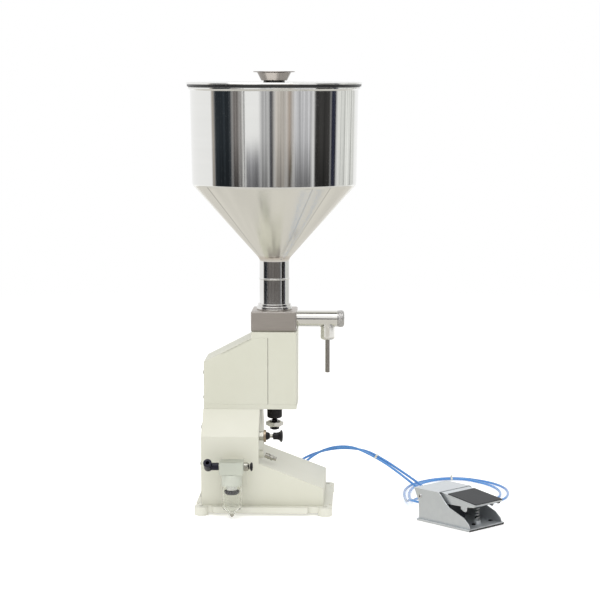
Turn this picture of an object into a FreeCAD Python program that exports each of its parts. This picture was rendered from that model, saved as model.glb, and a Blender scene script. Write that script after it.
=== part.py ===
import FreeCAD, Part
import math
import os
import Sketcher

# A bench-top pneumatic piston filler with its foot valve, in millimetres.
# X runs from the rear panel to the nozzle, Y away from the operator's side, Z up.
# The origin is on the bench, under the middle of the base casting.

Vector = FreeCAD.Vector
Rotation = FreeCAD.Rotation

SIZES = {
    # Base casting
    "base_long": 206, "base_deep": 180, "base_low": 4, "base_top": 14,
    "lug_reach_x": 108, "lug_reach_y": 95, "lug_rear_x": -79, "lug_front_x": 71, "lug_half_y": 66,
    "pad_x": 98, "pad_beyond_body": 6, "pad_r": 11, "bench_bolt_r": 3.5,
    "base_rib": 14, "base_deck": 4,
    # Lower body, a welded sheet shell
    "body_rear_x": -98, "column_front_x": -7.5, "body_half_y": 81, "shoulder_low": 124,
    "shoulder_top": 162, "head_half_y": 44, "body_wall": 3,
    "wedge_front_x": 95.4, "wedge_high": 81.3, "wedge_low": 42.1,
    "panel_half_y": 72, "panel_low": 18, "panel_high": 140, "panel_corner": 18, "panel_thick": 1.5,
    "panel_opening_in": 12, "panel_screw_y": 64, "panel_screw_low": 26, "panel_screw_high": 130,
    "panel_corner_screw_in": 2, "panel_corner_screw_up": 4,
    # Head
    "head_base_thick": 8, "head_rear_x": -97, "head_front_x": 51, "head_seam_x": 5.8,
    "head_wall": 6, "deck_thick": 9, "deck_top": 286, "deck_rear_x": -21, "roof_rear_z": 238,
    "cover_thick": 2, "head_edge_r": 2, "cover_screw_y": 34, "cover_screw_z": 180,
    "cover_screw_pitch": 40, "seam_gap": 0.6, "seam_deep": 1.2,
    "roof_seam_share": 0.62,
    # Piston line
    "axis_x": 14, "rod_r": 5, "rod_neck": 1, "rod_clear": 1,
    "cylinder_side": 56, "cylinder_floor": 8, "cylinder_top": 230, "air_bore_r": 22.5,
    "cylinder_cover": 8, "cylinder_edge": 4, "tie_bolt_at": 22,
    "measure_r": 20, "measure_wall": 4, "measure_seat": 6, "measure_seal": 2,
    "air_piston_tall": 9, "air_piston_gap": 2.5, "dose_piston_tall": 12, "dose_piston_gap": 3,
    "piston_gap": 0.4, "groove_in": 2.4, "groove_up": 3, "groove_tall": 2.5, "piston_round": 1.5,
    "bush_r": 8, "stop_r": 12.2, "stop_drop": 21.4, "stop_notch_r": 4, "stop_round": 1,
    "disc_r": 14.3, "disc_gap": 3.1, "disc_tall": 11.3, "disc_edge": 3,
    "end_nut_r": 7.5, "end_nut_tall": 3.9, "rod_beyond_disc": 4.7, "run_gap": 0.05, "slide_gap": 0.1,
    # Valve block and hopper
    "block_side": 72, "block_tall": 32, "block_edge": 1.5, "valve_bore_r": 14, "outlet_bore_r": 6,
    "outlet_axis_up": 17, "collar_r": 28.25, "collar_low_tall": 6, "collar_step": 1.75,
    "collar_tall": 10, "collar_bore_r": 20, "collar_ledge": 4, "collar_edge": 1,
    "neck_r": 24, "neck_top": 400, "neck_ring_z": 368, "neck_ring": 0.8, "hopper_wall": 1.5,
    "hopper_low_r": 131, "hopper_top_r": 134, "cone_top": 519, "hopper_top": 674, "rim_bead": 2,
    "rim_lip": 0.6, "hopper_seal": 2, "seal_in": 0.5,
    "seat_bore_r": 9, "seat_thick": 4, "seat_wall": 3, "spider_hub_r": 5, "spider_hub_up": 18,
    "spider_arm": 4, "spider_reach": 1, "poppet_head_r": 11, "poppet_head": 3, "poppet_stem_r": 2.5,
    "poppet_nut_r": 4.5, "poppet_nut": 4, "inlet_spring_tall": 12, "spring_gap": 0.6,
    # Lid
    "lid_over": 6, "lid_up": 2, "lid_thick": 1.5, "lid_skirt": 5, "lid_bend_r": 3,
    "lid_spigot_in": 5, "lid_spigot_drop": 7, "lid_seal_out": 3, "lid_seal_in": 2.5,
    "knob_foot_r": 20.5, "knob_tall": 14.6, "knob_cone_r": 27, "knob_brim_r": 33, "knob_brim": 1.5,
    "knob_edge": 0.5,
    "dish_rim": 3, "dish_deep": 0.8, "washer_r": 17, "washer_tall": 2.4, "washer_edge": 0.8,
    "lid_screw_r": 3, "lid_nut_r": 6, "lid_nut": 5,
    # Outlet
    "outlet_r": 13, "outlet_long": 65.7, "outlet_wall": 3.5, "outlet_spigot": 6,
    "outlet_seat_in": 8, "outlet_seat_r": 6, "spout_out": 49.4, "spout_r": 11.5, "spout_drop": 34,
    "spout_bore_r": 6, "spout_round": 5, "cap_r": 13.6, "cap_long": 8.5, "cap_dome": 2.5,
    "cap_boss_r": 6, "cap_boss": 7.7, "cap_plug": 3, "outlet_head_r": 8, "outlet_head": 3.4,
    "outlet_stem_in": 2, "nozzle_r": 3.65, "nozzle_bore_r": 2.4, "nozzle_long": 53.4,
    "nozzle_shank": 6, "nozzle_shoulder": 0.45, "nozzle_tip_edge": 0.6, "nozzle_tip_in": 0.4,
    # Push-pull valve
    "pull_in": 21, "pull_z": 122, "pull_hex_r": 7.6, "pull_hex": 7.1,
    "pull_ring_r": 9.75, "pull_ring_at": 9, "pull_thread_r": 6, "pull_ring_thick": 3.9,
    "pull_ring_edge": 0.6, "pull_gland_r": 6.5, "pull_gland": 6.4, "pull_gland_edge": 2.5,
    "pull_stem_r": 3, "pull_stem_end": 21.1, "pull_knob_neck_r": 5.5, "pull_knob_r": 10,
    "pull_knob_long": 16.7, "pull_knob_neck": 5, "pull_knob_brim": 1.5, "pull_knob_face": 3,
    "pull_travel": 3.5, "pull_body_long": 34, "pull_body_half": 9,
    # Speed valve
    "speed_in": 26, "speed_up": 11, "speed_boss_r": 6.5, "speed_boss": 7, "speed_tilt": 21,
    "speed_root": 6, "speed_root_drop": 0.8, "speed_body_at": 3, "speed_body_r": 4.4, "speed_body": 7,
    "speed_nut_r": 5, "speed_nut": 4, "speed_screw_r": 3.2, "speed_screw": 6, "speed_shank_r": 2,
    "speed_edge": 0.6, "speed_slot": 1, "speed_slot_deep": 1.6,
    # Filter
    "filter_x": -47.7, "filter_out": 32, "filter_top": 92, "filter_low": 72, "filter_half": 19,
    "filter_deep": 16.2, "filter_round": 4, "filter_socket": 4,
    "filter_port_z": 83, "filter_port_r": 4.9, "shell_r": 16, "shell_low": 53,
    "bowl_r": 15.3, "bowl_wall": 2, "bowl_low": 15, "bowl_tip": 8, "bowl_tip_r": 5,
    "baffle_r": 11, "baffle_low": 36.7, "baffle_tall": 6.3, "element_r": 8, "element_low": 46,
    "drain_r": 3.4, "drain_low": 1,
    "bowl_edge": 1, "bowl_bend": 4, "baffle_lean": 2, "baffle_stem_r": 2, "drain_plug": 3,
    "bracket_thick": 2.5, "bracket_half": 16, "bracket_low": 46, "bracket_drop": 3,
    "elbow_r": 6.8, "elbow_arm_r": 6, "elbow_rise": 15.8, "elbow_reach": 18, "elbow_turn": 57,
    "hose_bore_r": 3,
    "elbow_stub_r": 4.8, "bracket_screw_tab": 7,
    "fitting_hex_r": 7, "fitting_hex": 7.3, "ring_gap": 2.4, "ring_r": 7, "ring_long": 4.3,
    "ring_edge": 0.8,
    # Control valve inside the lower body
    "valve_x": 20, "valve_y": 14, "valve_long": 62, "valve_deep": 18, "valve_tall": 22,
    "spool_r": 4, "spool_waist_r": 2.8, "spool_end_land": 12, "spool_middle_land": 8, "spool_long": 50,
    "spool_travel": 3,
    "exit_x": 58, "exit_z": 44, "exit_apart": 11, "exit_r": 5, "exit_flange": 1, "exit_out": 9,
    "exit_nut": 4, "exit_grip": 6,
    # Foot valve, in its own frame: along the treadle, across it, up
    "foot_x": 309.8, "foot_y": -124.7, "foot_turn": -45, "foot_half_u": 55, "foot_half_v": 41,
    "foot_mat": 2, "foot_plate": 2, "foot_corner": 5, "foot_wall": 1.5, "house_half_v": 37,
    "house_top": 51, "house_rear_u": -53.5, "house_back_u": -64.7, "house_top_end_u": -12,
    "house_front_u": 53, "house_knee_in": 0.9, "house_knee_w": 30, "brow_u": 1.6, "brow_w": 37.4,
    "step_u": 9.2, "step_w": 30.8, "slope_u": 41, "slope_w": 19, "toe_u": 50.5, "toe_w": 11,
    "toe_tip_w": 6.3, "pivot_u": -51, "pivot_w": 39, "pivot_r": 2, "pivot_head_r": 3.5, "pivot_head": 1.5,
    "tread_eye": 4, "tread_tail_w": 44, "tread_low_back": 46, "tread_bend_u": 5,
    "skirt_rear_u": 2.4, "skirt_rear_w": 34, "skirt_front_u": 34, "skirt_front_w": 35.5,
    "tab_front_u": 42, "tab_front_w": 35.8, "nose_u": 56, "nose_w": 37,
    "tread_half_v": 31.5, "tread_front_u": 60, "tread_front_w": 41, "tread_back_u": -3,
    "tread_back_w": 49.5, "tread_tab_u": 38, "tread_tab_w": 27, "tread_pad": 1.5, "tread_pad_in": 1,
    "tread_pad_back": 9,
    "foot_valve_half_u": 18, "foot_valve_u": -24, "foot_valve_half_v": 17, "foot_valve_top": 32,
    "plunger_u": -14, "plunger_top": 43.9, "plunger_in": 10, "plunger_edge": 1, "plunger_r": 3,
    "plunger_down": 9, "seat_gap": 0.3, "port_v": 9, "port_w": 20, "port_r": 4.5, "port_floor": 4,
    "port_out_u": -68, "spring_wire": 1, "spring_cup": 1, "spring_u": 35, "spring_r": 4.5, "spring_low": 9.6,
    "foot_screw_u": 36, "foot_screw_near_v": -9, "foot_screw_far_v": 30, "foot_screw_back_u": 8,
    "foot_screw_back_v": -25,
    # Air tubes and ties
    "tube_r": 2, "tube_gap": 0.1, "tie_wide": 3, "tie_thick": 0.9, "tie_head": 3,
    # Screws
    "m4_head_r": 3.5, "m4_head": 2, "m4_r": 2, "m4_long": 8,
}

doc = FreeCAD.newDocument("FillingMachine")
sheet = doc.addObject("Spreadsheet::Sheet", "Sizes")


class Size:
    """A length with its value and the sheet formula that it comes from."""

    def __init__(self, value, formula):
        self.value = float(value)
        self.formula = formula

    def __add__(self, other):
        return combined(self, "+", other)

    def __radd__(self, other):
        return combined(other, "+", self)

    def __sub__(self, other):
        return combined(self, "-", other)

    def __rsub__(self, other):
        return combined(other, "-", self)

    def __mul__(self, other):
        return combined(self, "*", other)

    def __rmul__(self, other):
        return combined(other, "*", self)

    def __truediv__(self, other):
        return combined(self, "/", other)

    def __neg__(self):
        return combined(0, "-", self)

    def root(self):
        return Size(math.sqrt(self.value), "sqrt(%s)" % self.formula)


def sized(number):
    return number if isinstance(number, Size) else Size(number, repr(float(number)))


def combined(left, sign, right):
    left = sized(left)
    right = sized(right)
    results = {"+": left.value + right.value, "-": left.value - right.value,
               "*": left.value * right.value}
    value = left.value / right.value if sign == "/" else results[sign]
    return Size(value, "(%s %s %s)" % (left.formula, sign, right.formula))


class Sheet:
    """The sheet's cells, one attribute for each size."""

    def __init__(self, sizes):
        for row, (alias, value) in enumerate(sizes.items(), 1):
            sheet.set("A%d" % row, alias)
            sheet.set("B%d" % row, str(value))
            sheet.setAlias("B%d" % row, alias)
            setattr(self, alias, Size(value, "Sizes." + alias))


s = Sheet(SIZES)
doc.recompute()

# How near to a level an edge counts as lying on it, and the stroke nut's flats
SAME_PLACE = 0.1
NUT_FACETS = 8

parts = []

# Turns that bring a piece's own Z axis to the named direction
ALONG = {
    "up": Rotation(),
    "down": Rotation(Vector(1, 0, 0), 180),
    "front": Rotation(Vector(0, 1, 0), 90),
    "rear": Rotation(Vector(0, 1, 0), -90),
    "far": Rotation(Vector(1, 0, 0), -90),
    "near": Rotation(Vector(1, 0, 0), 90),
}


def bind(feature, name, number):
    number = sized(number)
    feature.setExpression(name, number.formula)


def new_body(label, place=(0, 0, 0), turn=None):
    """An empty body of its own label, put at its place and turned."""
    body = doc.addObject("PartDesign::Body", label)
    body.Label = label
    where = [sized(number) for number in place]
    body.Placement = FreeCAD.Placement(Vector(*[number.value for number in where]), turn or Rotation())
    for axis, number in zip("xyz", where):
        bind(body, "Placement.Base." + axis, number)
    parts.append(body)
    return body


def new_sketch(body, role, level):
    """A sketch on one of the body's origin planes, lifted to a level."""
    sketch = body.newObject("Sketcher::SketchObject", "Sketch")
    plane = [feature for feature in body.Origin.OriginFeatures if feature.Role == role][0]
    sketch.AttachmentSupport = [(plane, "")]
    sketch.MapMode = "FlatFace"
    level = sized(level)
    sketch.AttachmentOffset = FreeCAD.Placement(Vector(0, 0, level.value), Rotation())
    bind(sketch, "AttachmentOffset.Base.z", level)
    return sketch


def hold(sketch, kind, number, *places):
    """One constraint, with its value bound to the sheet."""
    number = sized(number)
    index = sketch.addConstraint(Sketcher.Constraint(kind, *places, number.value))
    bind(sketch, "Constraints[%d]" % index, number)


def arc_between(start, end, radius):
    """The shorter arc from start to end, turning left for a positive radius."""
    side = 1 if radius > 0 else -1
    half = (end - start).Length / 2
    rise = math.sqrt(max(radius * radius - half * half, 0))
    ahead = (end - start).normalize()
    centre = (start + end) * 0.5 + Vector(-ahead.y, ahead.x, 0) * (side * rise)
    first = math.atan2(start.y - centre.y, start.x - centre.x)
    last = math.atan2(end.y - centre.y, end.x - centre.x)
    if side < 0:
        first, last = last, first
    if last < first:
        last += 2 * math.pi
    return Part.ArcOfCircle(Part.Circle(centre, Vector(0, 0, 1), abs(radius)), first, last)


def draw(sketch, corners):
    """A closed outline. A corner is (across, up), or (across, up, radius) where an arc follows."""
    points = [(sized(corner[0]), sized(corner[1])) for corner in corners]
    count = len(corners)
    first_lines = sketch.GeometryCount
    ends = []
    for number, corner in enumerate(corners):
        start = Vector(points[number][0].value, points[number][1].value, 0)
        after = points[(number + 1) % count]
        end = Vector(after[0].value, after[1].value, 0)
        if len(corner) == 2:
            sketch.addGeometry(Part.LineSegment(start, end))
            ends.append((1, 2))
        else:
            radius = sized(corner[2])
            line = sketch.addGeometry(arc_between(start, end, radius.value))
            left_turn = radius.value > 0
            ends.append((1, 2) if left_turn else (2, 1))
            hold(sketch, "Radius", radius if left_turn else -radius, line)
    for number in range(count):
        after = (number + 1) % count
        sketch.addConstraint(Sketcher.Constraint("Coincident", first_lines + number, ends[number][1],
                                                 first_lines + after, ends[after][0]))
    for number, (across, up) in enumerate(points):
        hold(sketch, "DistanceX", across, -1, 1, first_lines + number, ends[number][0])
        hold(sketch, "DistanceY", up, -1, 1, first_lines + number, ends[number][0])


def draw_circle(sketch, across, up, radius):
    across = sized(across)
    up = sized(up)
    centre = Vector(across.value, up.value, 0)
    circle = sketch.addGeometry(Part.Circle(centre, Vector(0, 0, 1), sized(radius).value))
    hold(sketch, "Radius", radius, circle)
    hold(sketch, "DistanceX", across, -1, 1, circle, 3)
    hold(sketch, "DistanceY", up, -1, 1, circle, 3)


def levels(role, low, high):
    """Where a sketch on the plane starts, so that its pad fills low to high along the axis."""
    return -sized(high) if role == "XZ_Plane" else low


def pad(body, role, corners, low, high):
    """Material between two levels along the plane's axis."""
    sketch = new_sketch(body, role, levels(role, low, high))
    draw(sketch, corners)
    feature = body.newObject("PartDesign::Pad", "Pad")
    feature.Profile = sketch
    bind(feature, "Length", sized(high) - low)
    return feature


def pocket_of(body, sketch, low, high):
    feature = body.newObject("PartDesign::Pocket", "Pocket")
    feature.Profile = sketch
    feature.Reversed = True
    bind(feature, "Length", sized(high) - low)
    return feature


def pocket(body, role, corners, low, high):
    """A cut between two levels along the plane's axis."""
    sketch = new_sketch(body, role, levels(role, low, high))
    draw(sketch, corners)
    return pocket_of(body, sketch, low, high)


def drill(body, role, centres, radius, low, high):
    """Round holes between two levels."""
    for across, up in centres:
        sketch = new_sketch(body, role, levels(role, low, high))
        draw_circle(sketch, across, up, radius)
        pocket_of(body, sketch, low, high)


def disc(body, role, across, up, radius, low, high):
    """A round boss between two levels."""
    sketch = new_sketch(body, role, levels(role, low, high))
    draw_circle(sketch, across, up, radius)
    feature = body.newObject("PartDesign::Pad", "Boss")
    feature.Profile = sketch
    bind(feature, "Length", sized(high) - low)
    return feature


def turned(label, corners, place=(0, 0, 0), turn=None):
    """A piece turned about its own Z axis from a half outline of (radius, height)."""
    body = new_body(label, place, turn)
    revolve(body, corners)
    return body


def revolve(body, corners, kind="PartDesign::Revolution"):
    sketch = new_sketch(body, "XZ_Plane", 0)
    draw(sketch, corners)
    feature = body.newObject(kind, kind.split("::")[1])
    feature.Profile = sketch
    feature.ReferenceAxis = (sketch, ["V_Axis"])
    feature.Angle = 360
    return feature


def tube_outline(inner, outer, low, high):
    return [(inner, low), (outer, low), (outer, high), (inner, high)]


def box_outline(left, right, low, high):
    return [(left, low), (right, low), (right, high), (left, high)]


def finish_edges(body, kind, amount, chosen):
    """A fillet or chamfer on the edges that the test picks, by their middle and direction."""
    doc.recompute()
    base = body.Tip
    names = []
    for number, edge in enumerate(base.Shape.Edges, 1):
        middle = edge.valueAt((edge.FirstParameter + edge.LastParameter) / 2)
        if chosen(edge, middle):
            names.append("Edge%d" % number)
    feature = body.newObject("PartDesign::" + kind, kind)
    feature.Base = (base, names)
    bind(feature, "Radius" if kind == "Fillet" else "Size", amount)
    return feature


def upright(edge):
    return edge.Curve.TypeId == "Part::GeomLine" and abs(edge.tangentAt(edge.FirstParameter).z) > 0.99


def round_corners(radius, count):
    """The corners of an even polygon on a circle, as multiples of its radius."""
    turns = [2 * math.pi * step / count for step in range(count)]
    return [(radius * math.cos(turn), radius * math.sin(turn)) for turn in turns]


def solid_part(label, shape):
    """A piece made of shapes, such as a group of like screws, under its own label."""
    feature = doc.addObject("Part::Feature", label)
    feature.Label = label
    feature.Shape = shape
    feature.Placement = FreeCAD.Placement()
    parts.append(feature)
    return feature


def group(label, *pieces):
    """Like pieces of one body that share a name: they stay separate solids."""
    compound = doc.addObject("Part::Compound", label)
    compound.Label = label
    compound.Links = list(pieces)
    for piece in pieces:
        parts.remove(piece)
    parts.append(compound)
    return compound


def screw(place, ahead, head_r, head_tall, shank_r, long):
    """A socket screw whose head stands on the surface at place and whose shank goes ahead."""
    place = Vector(*[sized(number).value for number in place])
    head_r = sized(head_r).value
    head_tall = sized(head_tall).value
    shank = Part.makeCylinder(sized(shank_r).value, sized(long).value, place, ahead)
    head = Part.makeCylinder(head_r, head_tall, place, -ahead)
    socket = Part.makeCylinder(head_r * 0.5, head_tall * 0.6, place - ahead * head_tall, ahead)
    return head.fuse(shank).cut(socket)


machine_screws = []


def add_screws(places, ahead, long):
    """More of the one size of socket screw that holds the covers, the cylinder and the foot valve."""
    for place in places:
        machine_screws.append(screw(place, ahead, s.m4_head_r, s.m4_head, s.m4_r, long))


# Base

def base_casting():
    """A low casting: a slab with lugs between four bolted corner pads, hollow below."""
    base = new_body("base_casting")
    half_x = s.base_long / 2
    half_y = s.base_deep / 2
    pad(base, "XY_Plane", box_outline(-half_x, half_x, -half_y, half_y), s.base_low, s.base_top)
    pad(base, "XY_Plane", box_outline(s.lug_rear_x, s.lug_front_x, -s.lug_reach_y, s.lug_reach_y),
        s.base_low, s.base_top)
    pad(base, "XY_Plane", box_outline(-s.lug_reach_x, s.lug_reach_x, -s.lug_half_y, s.lug_half_y),
        s.base_low, s.base_top)
    pad_y = s.body_half_y + s.pad_beyond_body
    corners = [(s.pad_x * side_x, pad_y * side_y) for side_x in (-1, 1) for side_y in (-1, 1)]
    for across, along in corners:
        disc(base, "XY_Plane", across, along, s.pad_r, 0, s.base_top)
    hollow_x = half_x - s.base_rib
    hollow_y = half_y - s.base_rib - s.pad_r / 2
    pocket(base, "XY_Plane", box_outline(-hollow_x, hollow_x, -hollow_y, hollow_y),
           s.base_low, s.base_top - s.base_deck)
    drill(base, "XY_Plane", corners, s.bench_bolt_r, 0, s.base_top)


# Lower body

def drop_under(wall, run, rise):
    """How far the inside of a sloping wall lies under its outside, measured straight down."""
    return wall * (run * run + rise * rise).root() / run


def lower_body():
    """The welded shell: a column with shoulders, and the wedge that runs out under the nozzle."""
    shell = new_body("lower_body")
    wall = s.body_wall
    pad(shell, "YZ_Plane",
        [(-s.body_half_y, s.base_top), (s.body_half_y, s.base_top), (s.body_half_y, s.shoulder_low),
         (s.head_half_y, s.shoulder_top), (-s.head_half_y, s.shoulder_top),
         (-s.body_half_y, s.shoulder_low)], s.body_rear_x, s.column_front_x)
    pad(shell, "XZ_Plane",
        [(s.body_rear_x, s.base_top), (s.wedge_front_x, s.base_top), (s.wedge_front_x, s.wedge_low),
         (s.column_front_x, s.wedge_high), (s.body_rear_x, s.wedge_high)],
        -s.body_half_y, s.body_half_y)
    inner_y = s.body_half_y - wall
    inner_top = s.shoulder_top - wall
    run = s.body_half_y - s.head_half_y
    rise = s.shoulder_top - s.shoulder_low
    lean = drop_under(wall, run, rise)
    inner_low = s.shoulder_low + wall * rise / run - lean
    inner_head = s.body_half_y - (inner_top - s.shoulder_low + lean) * run / rise
    pocket(shell, "YZ_Plane",
           [(-inner_y, s.base_top), (inner_y, s.base_top), (inner_y, inner_low), (inner_head, inner_top),
            (-inner_head, inner_top), (-inner_y, inner_low)], s.body_rear_x + wall, s.column_front_x - wall)
    run = s.wedge_front_x - s.column_front_x
    rise = s.wedge_high - s.wedge_low
    lean = drop_under(wall, run, rise)
    pocket(shell, "XZ_Plane",
           [(s.body_rear_x + wall, s.base_top), (s.wedge_front_x - wall, s.base_top),
            (s.wedge_front_x - wall, s.wedge_low + wall * rise / run - lean),
            (s.column_front_x, s.wedge_high - lean), (s.body_rear_x + wall, s.wedge_high - lean)],
           -inner_y, inner_y)
    opening_y = s.panel_half_y - s.panel_opening_in
    pocket(shell, "YZ_Plane", box_outline(-opening_y, opening_y, s.panel_low + s.panel_opening_in,
                                          s.panel_high - s.panel_corner),
           s.body_rear_x, s.body_rear_x + wall)
    drill(shell, "XZ_Plane", [(s.exit_x, s.exit_z), (s.exit_x - s.exit_apart, s.exit_z)],
          s.exit_r - s.exit_flange, s.body_half_y - wall, s.body_half_y)
    drill(shell, "YZ_Plane", [(s.pull_in - s.body_half_y, s.pull_z)], s.pull_thread_r,
          s.column_front_x - wall, s.column_front_x)


def rear_access_panel():
    panel = new_body("rear_access_panel")
    slant = s.panel_corner
    pad(panel, "YZ_Plane",
        [(-s.panel_half_y, s.panel_low), (s.panel_half_y, s.panel_low),
         (s.panel_half_y, s.panel_high - slant), (s.panel_half_y - slant, s.panel_high),
         (slant - s.panel_half_y, s.panel_high), (-s.panel_half_y, s.panel_high - slant)],
        s.body_rear_x - s.panel_thick, s.body_rear_x)
    places = [(s.body_rear_x - s.panel_thick, s.panel_screw_y * side, level)
              for side in (-1, 1)
              for level in (s.panel_screw_low, (s.panel_screw_low + s.panel_screw_high) / 2)]
    corner_y = s.panel_screw_y - slant + s.panel_corner_screw_in
    places += [(s.body_rear_x - s.panel_thick, corner_y * side, s.panel_screw_high + s.panel_corner_screw_up)
               for side in (-1, 1)]
    drill(panel, "YZ_Plane", [place[1:] for place in places], s.m4_r, s.body_rear_x - s.panel_thick,
          s.body_rear_x)
    add_screws(places, Vector(1, 0, 0), s.panel_thick)


# Head

def head_base_plate():
    plate = new_body("head_base_plate")
    low = s.shoulder_top
    pad(plate, "XY_Plane", box_outline(s.head_rear_x, s.head_front_x, -s.head_half_y, s.head_half_y),
        low, low + s.head_base_thick)
    drill(plate, "XY_Plane", [(s.axis_x, 0)], s.bush_r, low, low + s.head_base_thick)


def head_front():
    """The front casting: three walls round the cylinder and the deck that carries the block."""
    front = new_body("head_front")
    low = s.shoulder_top + s.head_base_thick
    under_deck = s.deck_top - s.deck_thick
    pad(front, "XY_Plane", box_outline(s.head_seam_x, s.head_front_x, -s.head_half_y, s.head_half_y),
        low, s.deck_top)
    pad(front, "XY_Plane", box_outline(s.deck_rear_x, s.head_front_x, -s.head_half_y, s.head_half_y),
        under_deck, s.deck_top)
    inner_y = s.head_half_y - s.head_wall
    pocket(front, "XY_Plane", box_outline(s.deck_rear_x, s.head_front_x - s.head_wall, -inner_y, inner_y),
           low, under_deck)
    drill(front, "XY_Plane", [(s.axis_x, 0)], s.measure_r + s.measure_wall + s.slide_gap, under_deck,
          s.deck_top)
    edge_x = SIZES["head_front_x"] - SAME_PLACE
    finish_edges(front, "Fillet", s.head_edge_r, lambda edge, middle: upright(edge) and middle.x > edge_x)


def head_rear_cover():
    """The sheet cover behind the casting: two sides, a back and the sloping roof."""
    cover = new_body("head_rear_cover")
    low = s.shoulder_top + s.head_base_thick
    under_deck = s.deck_top - s.deck_thick
    thick = s.cover_thick
    seam = s.head_seam_x - s.seam_gap
    pad(cover, "XZ_Plane",
        [(s.head_rear_x, low), (seam, low), (seam, under_deck), (s.deck_rear_x, under_deck),
         (s.head_rear_x, s.roof_rear_z)], -s.head_half_y, s.head_half_y)
    inner_y = s.head_half_y - thick
    run = s.deck_rear_x - s.head_rear_x
    rise = under_deck - s.roof_rear_z
    lean = drop_under(thick, run, rise)
    pocket(cover, "XZ_Plane",
           [(s.head_rear_x + thick, low), (seam, low), (seam, under_deck),
            (s.deck_rear_x + thick, under_deck), (s.deck_rear_x, under_deck - lean),
            (s.head_rear_x + thick, s.roof_rear_z + thick * rise / run - lean)], -inner_y, inner_y)
    groove_x = s.deck_rear_x - run * s.roof_seam_share
    groove_low = under_deck - rise * s.roof_seam_share
    for low_y, high_y in ((-s.head_half_y, s.seam_deep - s.head_half_y),
                          (s.head_half_y - s.seam_deep, s.head_half_y)):
        pocket(cover, "XZ_Plane",
               [(groove_x, groove_low - lean), (s.deck_rear_x, under_deck - lean),
                (s.deck_rear_x, under_deck - lean + s.seam_gap), (groove_x, groove_low - lean + s.seam_gap)],
               low_y, high_y)
    places = [(s.head_rear_x, s.cover_screw_y * side, level)
              for side in (-1, 1)
              for level in (s.cover_screw_z, s.cover_screw_z + s.cover_screw_pitch)]
    drill(cover, "YZ_Plane", [place[1:] for place in places], s.m4_r, s.head_rear_x, s.head_rear_x + thick)
    add_screws(places, Vector(1, 0, 0), thick)


# Cylinders and pistons

def cylinder_levels():
    """The floor of the air cylinder, its top, and the deck of the measuring cylinder."""
    low = s.shoulder_top + s.head_base_thick
    return low, low + s.cylinder_floor, s.cylinder_top, s.cylinder_top + s.cylinder_cover


def cylinders():
    """The square air cylinder, and the measuring cylinder whose flange closes it."""
    low, floor, top, deck = cylinder_levels()
    half = s.cylinder_side / 2
    square = box_outline(s.axis_x - half, s.axis_x + half, -half, half)
    bolts = [(s.axis_x + s.tie_bolt_at * side_x, s.tie_bolt_at * side_y)
             for side_x in (-1, 1) for side_y in (-1, 1)]
    body = new_body("air_cylinder_body")
    pad(body, "XY_Plane", square, low, top)
    drill(body, "XY_Plane", [(s.axis_x, 0)], s.air_bore_r, floor, top)
    drill(body, "XY_Plane", [(s.axis_x, 0)], s.rod_r + s.rod_clear, low, floor)
    finish_edges(body, "Chamfer", s.cylinder_edge, lambda edge, middle: upright(edge))
    drill(body, "XY_Plane", bolts, s.m4_r, top - s.m4_long, top)
    seat = s.deck_top + s.measure_seat
    outer = s.measure_r + s.measure_wall
    measure = new_body("measuring_cylinder")
    pad(measure, "XY_Plane", square, top, deck)
    finish_edges(measure, "Chamfer", s.cylinder_edge, lambda edge, middle: upright(edge))
    disc(measure, "XY_Plane", s.axis_x, 0, outer, deck, seat)
    drill(measure, "XY_Plane", [(s.axis_x, 0)], s.measure_r, deck, seat)
    drill(measure, "XY_Plane", [(s.axis_x, 0)], s.rod_r + s.run_gap, top, deck)
    drill(measure, "XY_Plane", bolts, s.m4_r, top, deck)
    add_screws([(x, y, deck) for x, y in bolts], Vector(0, 0, -1), s.cylinder_cover + s.m4_long)


def groove(bore, low):
    """The seal's groove round a piston, from a level up."""
    side = bore - s.piston_gap
    floor = bore - s.groove_in
    start = low + s.groove_up
    end = start + s.groove_tall
    return [(side, start), (floor, start), (floor, end), (side, end)]


def disc_level():
    """The underside of the faceted stroke nut."""
    return s.shoulder_top - s.stop_drop - s.disc_gap - s.disc_tall


def piston_line():
    """The rod with its two pistons, parked at the top of the stroke."""
    low, floor, top, deck = cylinder_levels()
    air_top = top - s.air_piston_gap
    air_low = air_top - s.air_piston_tall
    dose_top = s.deck_top + s.measure_seat + s.measure_seal - s.dose_piston_gap
    dose_low = dose_top - s.dose_piston_tall
    neck = s.rod_r - s.rod_neck
    neck_top = dose_top - s.groove_up
    side = s.measure_r - s.piston_gap
    air_side = s.air_bore_r - s.piston_gap
    axis = (s.axis_x, 0, 0)
    rod_end = disc_level() - s.rod_beyond_disc
    turned("piston_rod", [(0, rod_end), (s.rod_r, rod_end), (s.rod_r, dose_low), (neck, dose_low),
                          (neck, neck_top), (0, neck_top)], axis)
    turned("dosing_piston",
           [(neck, dose_low), (side, dose_low), *groove(s.measure_r, dose_low),
            (side, dose_top - s.piston_round), (side - s.piston_round, dose_top), (0, dose_top),
            (0, neck_top), (neck, neck_top)], axis)
    turned("air_piston",
           [(s.rod_r, air_low), (air_side, air_low), *groove(s.air_bore_r, air_low), (air_side, air_top),
            (s.rod_r, air_top)], axis)
    rings = []
    for label, bore, low in (("dosing_ring", s.measure_r, dose_low), ("air_ring", s.air_bore_r, air_low)):
        from_low = low + s.groove_up
        rings.append(turned(label, tube_outline(bore - s.groove_in, bore - s.run_gap, from_low,
                                                from_low + s.groove_tall), axis))
    group("piston_seals", *rings)


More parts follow.
